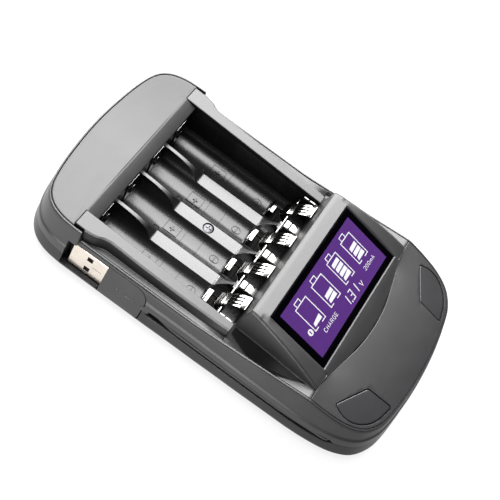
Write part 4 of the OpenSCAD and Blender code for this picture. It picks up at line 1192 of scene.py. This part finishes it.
# painted shade: thin near-black sheets and wedges laid in the contact recesses to darken them
well_shade_sheets = [box_in(ident, xc - 3.38, xc + 3.38, -1.95, 6.6, 5.75, 5.95, "well", "gap") for xc in (-24.75, -8.25, 8.25, 24.75)]
wedge = [(2.9, 5.9), (2.9, 7.5), (3.9, 7.7), (6.1, 6.25), (6.1, 5.9)]
for xc in (-24.75, -8.25, 8.25, 24.75):
    well_shade_sheets.append(mesh_obj("well", [(xc - 3.1, y, z) for y, z in wedge] + [(xc + 3.1, y, z) for y, z in wedge],
                          [(0, 1, 2, 3, 4), (9, 8, 7, 6, 5)] + [(i, 5 + i, 5 + (i + 1) % 5, (i + 1) % 5) for i in range(5)], "gap", None))
finish_piece(join(well_shade_sheets, "well_shade_sheets"), "contact_well_painted_shade", "case", "gap", (), 30)
for xc in (-24.75, -8.25, 8.25, 24.75):
    rect = sub([(-2.5, 29.2), (2.5, 29.2), (2.5, 35.4), (-2.5, 35.4)], 0.6, True)
    marks.append(mark(xc, rect, closed=True))
    marks.append(mark(xc, sub([(-1.1, 32.3), (1.1, 32.3)]), 0.5, 0.2))
    marks.append(mark(xc, sub([(0, 31.2), (0, 33.4)]), 0.5, 0.2))
    marks.append(mark(xc, [(1.5 * math.cos(math.radians(a)), 12.4 + 1.9 * math.sin(math.radians(a))) for a in range(0, 360, 15)], 0.28, 0.14, True))
    marks.append(mark(xc, sub([(-1.0, 12.4), (1.0, 12.4)]), 0.45, 0.18))
    marks.append(mark(xc, sub([(-4.4, 19.6), (4.4, 19.6)]), 0.22, 0.1))
    marks.append(mark(xc, sub([(-4.4, 27.0), (4.4, 27.0)]), 0.22, 0.1))
    marks.append(mark(xc, [(-4.6 + 1.2 * math.sin(math.radians(a)), 37.5 + 1.2 * math.cos(math.radians(a))) for a in range(0, 181, 20)], 0.28, 0.14))
tray = join(tray_bits + marks, "tray_body")
finish_piece(tray, "battery_tray_body", "case", "tray", ("battery_tray",), 30)

# screw in the middle divider
head = []
for rr, zz in ((2.0, 7.4), (2.12, 7.5), (2.12, 8.85), (1.98, 9.1), (1.7, 9.22), (1.2, 9.32), (0.6, 9.38), (0.05, 9.4)):
    head.append([(rr * math.cos(2 * math.pi * k / 48), 21.3 + rr * math.sin(2 * math.pi * k / 48), zz) for k in range(48)])
scr = loft("screw_head", head, "screw", 30)
x1_ = box_in(ident, -1.25, 1.25, 21.3 - 0.22, 21.3 + 0.22, 8.7, 10, "x1")
x2_ = box_in(ident, -0.22, 0.22, 21.3 - 1.25, 21.3 + 1.25, 8.7, 10, "x2")
cut(scr, [x1_, x2_])
shank = cyl_obj("shank", 0, 21.3, 3.2, 7.6, 1.1, 32, "screw")
finish_piece(join([scr, shank], "tray_screw_body"), "tray_screw_body", "case", "screw", ("tray_screw",), 30)

# ------------------------------------------------------------------ contacts
LEAF = [(0.25, 6.6), (0.25, 9.5), (1, 11.5), (2.05, 13.2), (1.9, 14.4), (0.75, 16), (0.35, 17.1), (-0.35, 17.75), (-1.6, 18.9), (-3.8, 21.7), (-8, 24.5)]
TAB = [(7.1, 6.3), (7.1, 8.3), (7.35, 9.8), (7, 11.1), (6.2, 11.6), (5, 11.75)]


def strip_mesh(name, prof, x0, x1, t, mat="nickel", r=0.1):
    P = [np.array(p, float) for p in prof]
    n = len(P)
    rows = []
    for i in range(n):
        a, b = P[max(i - 1, 0)], P[min(i + 1, n - 1)]
        u = (b - a) / np.linalg.norm(b - a)
        q = np.array([u[1], -u[0]])
        row = []
        for dx, dq in ((x0, -t / 2 + r), (x0 + r * 0.3, -t / 2 + r * 0.3), (x0 + r, -t / 2), (x1 - r, -t / 2), (x1 - r * 0.3, -t / 2 + r * 0.3), (x1, -t / 2 + r),
                       (x1, t / 2 - r), (x1 - r * 0.3, t / 2 - r * 0.3), (x1 - r, t / 2), (x0 + r, t / 2), (x0 + r * 0.3, t / 2 - r * 0.3), (x0, t / 2 - r)):
            p = P[i] + q * dq
            row.append((dx, p[0], p[1]))
        rows.append(row)
    return loft(name, rows, mat, 40)


for k in range(4):
    xc = (k - 1.5) * PITCH
    full_p = crom(LEAF[:9], 5) 
    up_p = crom([LEAF[8], LEAF[9], (-6.4, 23.55)], 6)
    end_p = crom([(-6.3, 23.5), (-7.2, 24.05), LEAF[10], (-8.15, 24.35)], 4)
    bits = [strip_mesh("leaf", full_p, xc - 2.95, xc + 2.95, 0.4)]
    for a, b in ((-2.95, -1.72), (-1.3, -0.22), (0.22, 1.3), (1.72, 2.95)):
        bits.append(strip_mesh("finger", up_p, xc + a, xc + b, 0.4))
    bits.append(strip_mesh("leaf_end", end_p, xc - 2.95, xc + 2.95, 0.4))
    finish_piece(join(bits, "aa_%d" % k), "aa_contact_%d_body" % (k + 1), "aa_spring_%d" % (k + 1), "nickel", ("aa_contact_%d" % (k + 1),), 40)
    t1 = strip_mesh("tab", crom(TAB, 6), xc - 2.85, xc + 2.85, 0.42)
    finish_piece(t1, "aaa_contact_%d_body" % (k + 1), "aaa_spring_%d" % (k + 1), "nickel", ("aaa_contact_%d" % (k + 1),), 40)
    # positive plate with its raised button
    pl = soft_box("plate", xc - 3.5, xc + 3.5, 53.45, 53.85, 7.75, 19.95, 0.12, "nickel", 2)
    ring_rows = []
    for rr, yy in ((2.45, 53.5), (2.3, 53.35), (2.2, 53.0), (2.15, 52.7), (2.0, 52.5), (1.6, 52.4), (0.8, 52.37), (0.05, 52.36)):
        ring_rows.append([(xc + rr * math.cos(2 * math.pi * j / 40), yy, 13.7 + rr * math.sin(2 * math.pi * j / 40)) for j in range(40)])
    bt = loft("button", ring_rows, "nickel", 30)
    finish_piece(join([pl, bt], "pos_%d" % k), "positive_contact_%d_body" % (k + 1), "case", "nickel", ("positive_contact_%d" % (k + 1),), 35)

rod = loft("rod", [[(x, -0.9 + 0.5 * math.cos(2 * math.pi * k / 24), 16.62 + 0.5 * math.sin(2 * math.pi * k / 24)) for k in range(24)] for x in (-31.2, 0, 31.2)], "nickel", 40)
finish_piece(rod, "contact_rail_body", "case", "nickel", ("contact_rail",), 40)
clips = []
for xc, w in ((-16.5, 1.65), (0, 1.65), (16.5, 1.65), (-32.1, 0.55), (32.1, 0.55)):
    clips.append(soft_box("clip", xc - w, xc + w, -7.6, -4.45, 19.2, 19.55, 0.1, "nickel", 2))
    clips.append(soft_box("clip", xc - w, xc + w, -4.2, -1.7, 19.2, 19.55, 0.1, "nickel", 2))
    clips.append(box_in(ident, xc - w + 0.1, xc + w - 0.1, -7.4, -1.9, 19.15, 19.38, "clip", "nickel"))
finish_piece(join(clips, "clips"), "post_clips_body", "case", "nickel", ("post_clips",), 40)


# ------------------------------------------------------------------ display
def win_prism(pts, z0, z1, name="m", mat="marks"):
    P = [np.array(p, float) for p in pts]
    n = len(P)
    area = sum(P[i][0] * P[(i + 1) % n][1] - P[(i + 1) % n][0] * P[i][1] for i in range(n))
    if area < 0:
        P = P[::-1]
    v = [win_pt(p[0], p[1], z0) for p in P] + [win_pt(p[0], p[1], z1) for p in P]
    f = [tuple(range(n - 1, -1, -1)), tuple(range(n, 2 * n))] + [(i, (i + 1) % n, n + (i + 1) % n, n + i) for i in range(n)]
    return mesh_obj(name, v, f, mat, None, 30)


ZT = -0.27


def stroke(path, w=0.42, closed=False):
    P = [np.array(p, float) for p in path]
    n = len(P)
    L, R_ = [], []
    for i in range(n):
        pa = P[i - 1] if (closed or i > 0) else None
        pb = P[(i + 1) % n] if (closed or i < n - 1) else None
        d1 = (P[i] - pa) / np.linalg.norm(P[i] - pa) if pa is not None else None
        d2 = (pb - P[i]) / np.linalg.norm(pb - P[i]) if pb is not None else None
        if d1 is None:
            d1 = d2
        if d2 is None:
            d2 = d1
        n1, n2 = np.array([-d1[1], d1[0]]), np.array([-d2[1], d2[0]])
        q = n1 + n2
        q = q / max(np.linalg.norm(q), 1e-9)
        q = q / max(0.5, float(q @ n1))
        L.append(P[i] + q * w / 2)
        R_.append(P[i] - q * w / 2)
    obs = []
    v, f = [], []
    for i in range(n):
        for p, z in ((L[i], ZT + 0.012), (R_[i], ZT + 0.012), (R_[i], ZT - 0.1), (L[i], ZT - 0.1)):
            v.append(win_pt(p[0], p[1], z))
    f = grid_faces(n, 4, closed, True)
    if not closed:
        f += [(3, 2, 1, 0), tuple((n - 1) * 4 + k for k in range(4))]
    return mesh_obj("stroke", v, f, "marks", None, 30, merge=0.00001)


frame_out = round_corners([(-28.8, -13.65), (28.8, -13.65), (28.8, 13.65), (-28.8, 13.65)], 0.7, [0, 1, 2, 3])
win = win_prism(frame_out, -1.7, -0.25, "window_plate", "window")
fl_cut = win_prism([(-26.04, -11.07), (26.04, -11.07), (26.04, 11.02), (-26.04, 11.02)], -0.6, 1, "fc", "window")
cut(win, [fl_cut])
bevel(win, 0.05, 2, 60)
finish_piece(win, "display_window_body", "case", "window", ("display_window",), 30)
field = win_prism([(-26.04, -11.07), (26.04, -11.07), (26.04, 11.02), (-26.04, 11.02)], -1.69, ZT, "display_field", "field")
finish_piece(field, "display_field_body", "case", "field", (), 30)

ink = []
icons = [(-16.4, 7.3, 1), (-4.62, 7.15, 2), (6.95, 6.75, 4), (18.0, 6.6, 3)]
for xc, w, nb in icons:
    h = w / 2
    ink.append(stroke([(xc + h * 0.32, -3.4), (xc + h, -3.4), (xc + h, 7.35), (xc - h, 7.35), (xc - h, -3.4), (xc - h * 0.42, -3.4)], 0.38))
    ink.append(stroke([(xc - h * 0.62, 7.5), (xc - h * 0.62, 9.2), (xc + h * 0.2, 9.2), (xc + h * 0.2, 7.5)], 0.34))
    for j in range(nb):
        y0 = -2.42 + 2.2 * j
        l, r = xc - h * 0.68, xc + h * 0.68
        if j == 0:
            q = [(l - 0.05, y0), (r + 0.1, y0), (r, y0 + 2.0), (l + 0.25, y0 + 1.3)]
        else:
            q = [(l - 0.02, y0 - 0.25), (r + 0.05, y0), (r, y0 + 1.72), (l + 0.2, y0 + 1.42)]
        ink.append(win_prism(q, ZT - 0.1, ZT + 0.012, "bar"))
ring_pts = [(-22.05 + 1.25 * math.cos(math.radians(a)), -2.05 + 1.25 * math.sin(math.radians(a))) for a in range(0, 360, 15)]
disc = win_prism(ring_pts, ZT - 0.1, ZT + 0.012, "disc")
ink.append(disc)
one = win_prism([(-22.3, -2.75), (-21.8, -2.75), (-21.8, -1.3), (-22.1, -1.3), (-22.45, -1.6), (-22.3, -1.8)], ZT - 0.05, ZT + 0.02, "one", "field")
finish_piece(one, "display_mark_digit", "case", "field", (), 30)

GLYPH = {
    "C": [[(1, 0.82), (0.75, 1), (0.25, 1), (0, 0.75), (0, 0.25), (0.25, 0), (0.75, 0), (1, 0.18)]],
    "H": [[(0, 0), (0, 1)], [(1, 0), (1, 1)], [(0, 0.5), (1, 0.5)]],
    "A": [[(0, 0), (0.5, 1), (1, 0)], [(0.2, 0.36), (0.8, 0.36)]],
    "R": [[(0, 0), (0, 1), (0.7, 1), (0.95, 0.86), (0.95, 0.64), (0.7, 0.5), (0, 0.5)], [(0.55, 0.5), (1, 0)]],
    "G": [[(1, 0.82), (0.75, 1), (0.25, 1), (0, 0.75), (0, 0.25), (0.25, 0), (0.75, 0), (1, 0.2), (1, 0.48), (0.6, 0.48)]],
    "E": [[(1, 0), (0, 0), (0, 1), (1, 1)], [(0, 0.5), (0.85, 0.5)]],
    "0": [[(0.5, 0), (0.12, 0.15), (0, 0.5), (0.12, 0.85), (0.5, 1), (0.88, 0.85), (1, 0.5), (0.88, 0.15), (0.5, 0)]],
    "1": [[(0.5, 0), (0.5, 1)]],
    "2": [[(0, 0.8), (0.25, 1), (0.75, 1), (1, 0.78), (0.95, 0.55), (0, 0), (1, 0)]],
    "3": [[(0, 1), (0.95, 1), (0.95, 0), (0, 0)], [(0.15, 0.5), (0.95, 0.5)]],
    "m": [[(0, 0), (0, 0.62)], [(0, 0.55), (0.25, 0.65), (0.5, 0.5), (0.5, 0)], [(0.5, 0.5), (0.75, 0.65), (1, 0.5), (1, 0)]],
    "v": [[(0, 1), (0.5, 0), (1, 1)]],
}


def write(text, x, y, w, h, gap, sw, slant=0.0):
    for ch in text:
        ww = w * (1.25 if ch == "m" else 1)
        for path in GLYPH[ch]:
            ink.append(stroke([(x + p[0] * ww + p[1] * h * slant, y + p[1] * h) for p in path], sw))
        x += ww + gap
    return x


write("CHARGE", -17.35, -7.15, 1.0, 1.5, 0.62, 0.22)
write("200", 14.6, -7.05, 1.0, 1.5, 0.5, 0.2)
write("m", 19.1, -7.05, 1.0, 1.5, 0.4, 0.2)
write("A", 20.85, -7.05, 1.15, 1.5, 0.4, 0.2)
ink.append(stroke([(-0.85, -9.3), (-0.35, -5.6)], 0.42))
ink.append(win_prism([(0.15, -9.55), (0.7, -9.55), (0.75, -9.0), (0.2, -9.0)], ZT - 0.1, ZT + 0.012, "dot"))
write("3", 1.2, -9.3, 1.75, 3.7, 0, 0.42, 0.09)
ink.append(stroke([(5.85, -9.3), (6.3, -5.6)], 0.42))
write("v", 8.2, -9.3, 1.5, 1.9, 0, 0.36)
finish_piece(join(ink, "ink"), "display_marks", "case", "marks", (), 30)


# ------------------------------------------------------------------ plug and lead
def rrect(x0, x1, z0, z1, r, n=5):
    return [tuple(p) for p in fillet([(x0, z0, r), (x1, z0, r), (x1, z1, r), (x0, z1, r)], n)]


outer = rrect(0, 4.5, -6, 6, 0.75)
inn = rrect(0.3, 4.2, -5.7, 5.7, 0.5)
ys_u = [36, 54.9, 55.12, 55.2, 55.2, 54.9, 37]
rows = []
for y, pts, g in ((36, outer, 0), (40, outer, 0), (54.95, outer, 0), (55.14, outer, 0.06), (55.2, outer, 0.14), (55.2, inn, -0.04), (55.05, inn, 0), (37, inn, 0)):
    c = np.array([2.25, 0.0])
    row = []
    for p in pts:
        q = np.array(p)
        d = q - c
        q = q - np.sign(d) * g
        row.append(plug_pt(q[0], y, q[1]))
    rows.append(row)
shell = loft("usb_tube", rows, "usb", 32)
holes = [box_in(plug_pt, -0.5, 0.8, 46.2, 48.6, z - 1.15, z + 1.15, "uh") for z in (-2.9, 2.9)]
cut(shell, [join(holes, "uholes")])
# near-black plates behind the holes as painted shade in them, and the seam bead between them
hole_shade_plates = [box_in(plug_pt, 0.32, 0.55, 45.9, 48.9, z - 1.4, z + 1.4, "tg", "gap") for z in (-2.9, 2.9)]
finish_piece(join(hole_shade_plates, "tg"), "usb_hole_painted_shade", "lead", "gap", (), 30)
seam = [box_in(plug_pt, -0.03, 0.1, 41.5, 45.4, -0.06, 0.06, "sm", "gap")]
finish_piece(join(seam, "sm"), "usb_shell_seam", "lead", "gap", (), 30)
finish_piece(shell, "usb_shell_body", "lead", "usb", ("usb_shell",), 32)

g_body = grip_solid("grip_body", 0.0, 38.6, -0.05, "grip")
gc = box_in(plug_pt, -0.02, 4.52, 36, 60, -6.02, 6.02, "gcut", "grip")
cut(g_body, [gc])
bits = [g_body, soft_box("nub", -left_wall_x(9.2) - 0.02, -41.2, 19.3, 23.4, 8.05, 10.45, 0.55, "grip")]
for y, z, a, b in ((33.6, 9.5, 0.55, 0.55), (31.2, 11.0, 0.4, 0.4), (30.4, 8.2, 0.4, 0.4), (28.6, 9.6, 1.5, 0.16), (26.2, 9.6, 0.45, 0.45)):
    bits.append(soft_box("raised", -left_wall_x(z) - 0.12, -left_wall_x(z) + 0.6, y - a, y + a, z - b, z + b, 0.12, "grip"))
g_body = join(bits, "grip_all")
finish_piece(g_body, "usb_overmould_body", "lead", "grip", ("usb_overmould",), 35)

LR = [(-42.3, 25.9), (-42.0, 22), (-42.1, 17.5), (-42.9, 12.5), (-43.4, 8), (-43.5, 0), (-43.5, -10), (-43.5, -20), (-43.5, -30), (-43.45, -38), (-43.25, -44), (-42.95, -49), (-42.6, -54), (-42.42, -57.2),
      (-42.25, -58.9), (-41.9, -59.7), (-41.2, -60.3), (-40, -60.5), (-37.4, -60.5)]
path = crom([np.array([p[0], p[1], 9.05]) for p in LR], 5)
rows = []
for i, p in enumerate(path):
    t = path[min(i + 1, len(path) - 1)] - path[max(i - 1, 0)]
    t = t / np.linalg.norm(t)
    q = np.array([-t[1], t[0], 0])
    rows.append([tuple(p + q * math.cos(2 * math.pi * k / 20) + np.array([0, 0, 1]) * math.sin(2 * math.pi * k / 20)) for k in range(20)])
cord = loft("usb_lead_body", rows, "lead", 50)
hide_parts("usb_lead", "lead_root")
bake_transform(cord)


# ------------------------------------------------------------------ lights and floor
def area(name, loc, target, sx, sy, power, col=(1, 1, 1)):
    l = bpy.data.lights.new(name, "AREA")
    l.shape, l.size, l.size_y, l.energy, l.color = "RECTANGLE", sx, sy, power, col
    o = bpy.data.objects.new(name, l)
    scene.collection.objects.link(o)
    o.location = loc
    d = Vector(target) - Vector(loc)
    o.rotation_mode = "QUATERNION"
    o.rotation_quaternion = d.to_track_quat("-Z", "Y")
    return o


def build_stage():
    me = bpy.data.meshes.new("floor")
    s = 6.0
    me.from_pydata([(-s, -s, 0), (s, -s, 0), (s, s, 0), (-s, s, 0)], [], [(0, 1, 2, 3)])
    m, nt, b = new_mat("floor_pale")
    tc = nt.nodes.new("ShaderNodeTexCoord")
    n = noise(nt, 3.0, 2.0, 0.5, tc.outputs["Object"])
    nt.links.new(mix_col(nt, n, (0.13, 0.13, 0.13), (0.14, 0.14, 0.14)), b.inputs["Base Color"])
    b.inputs["Roughness"].default_value = 0.9
    b.inputs["Specular IOR Level"].default_value = 0.1
    b.inputs["Emission Color"].default_value = (1, 1, 1, 1)
    b.inputs["Emission Strength"].default_value = 0.84
    me.materials.append(m)
    o = bpy.data.objects.new("floor", me)
    scene.collection.objects.link(o)
    w = bpy.data.worlds.new("world")
    scene.world = w
    w.use_nodes = True
    w.node_tree.nodes["Background"].inputs["Color"].default_value = (1, 1, 1, 1)
    w.node_tree.nodes["Background"].inputs["Strength"].default_value = 0.02
    # long softbox from overhead down to the right, a low strip at the left and one behind
    d, e = 0.9, math.radians(58)
    area("softbox", (d * math.cos(e), 0.195, d * math.sin(e)), (0, 0.195, 0), 0.71, 1.62, 43)
    area("strip_left", (-1.15, 0.12, 0.26), (0, 0.06, 0.03), 0.7, 0.44, 7.2)
    area("strip_back", (0.5, 0.82, 0.36), (0, 0.04, 0.01), 0.7, 0.36, 17)


build_stage()
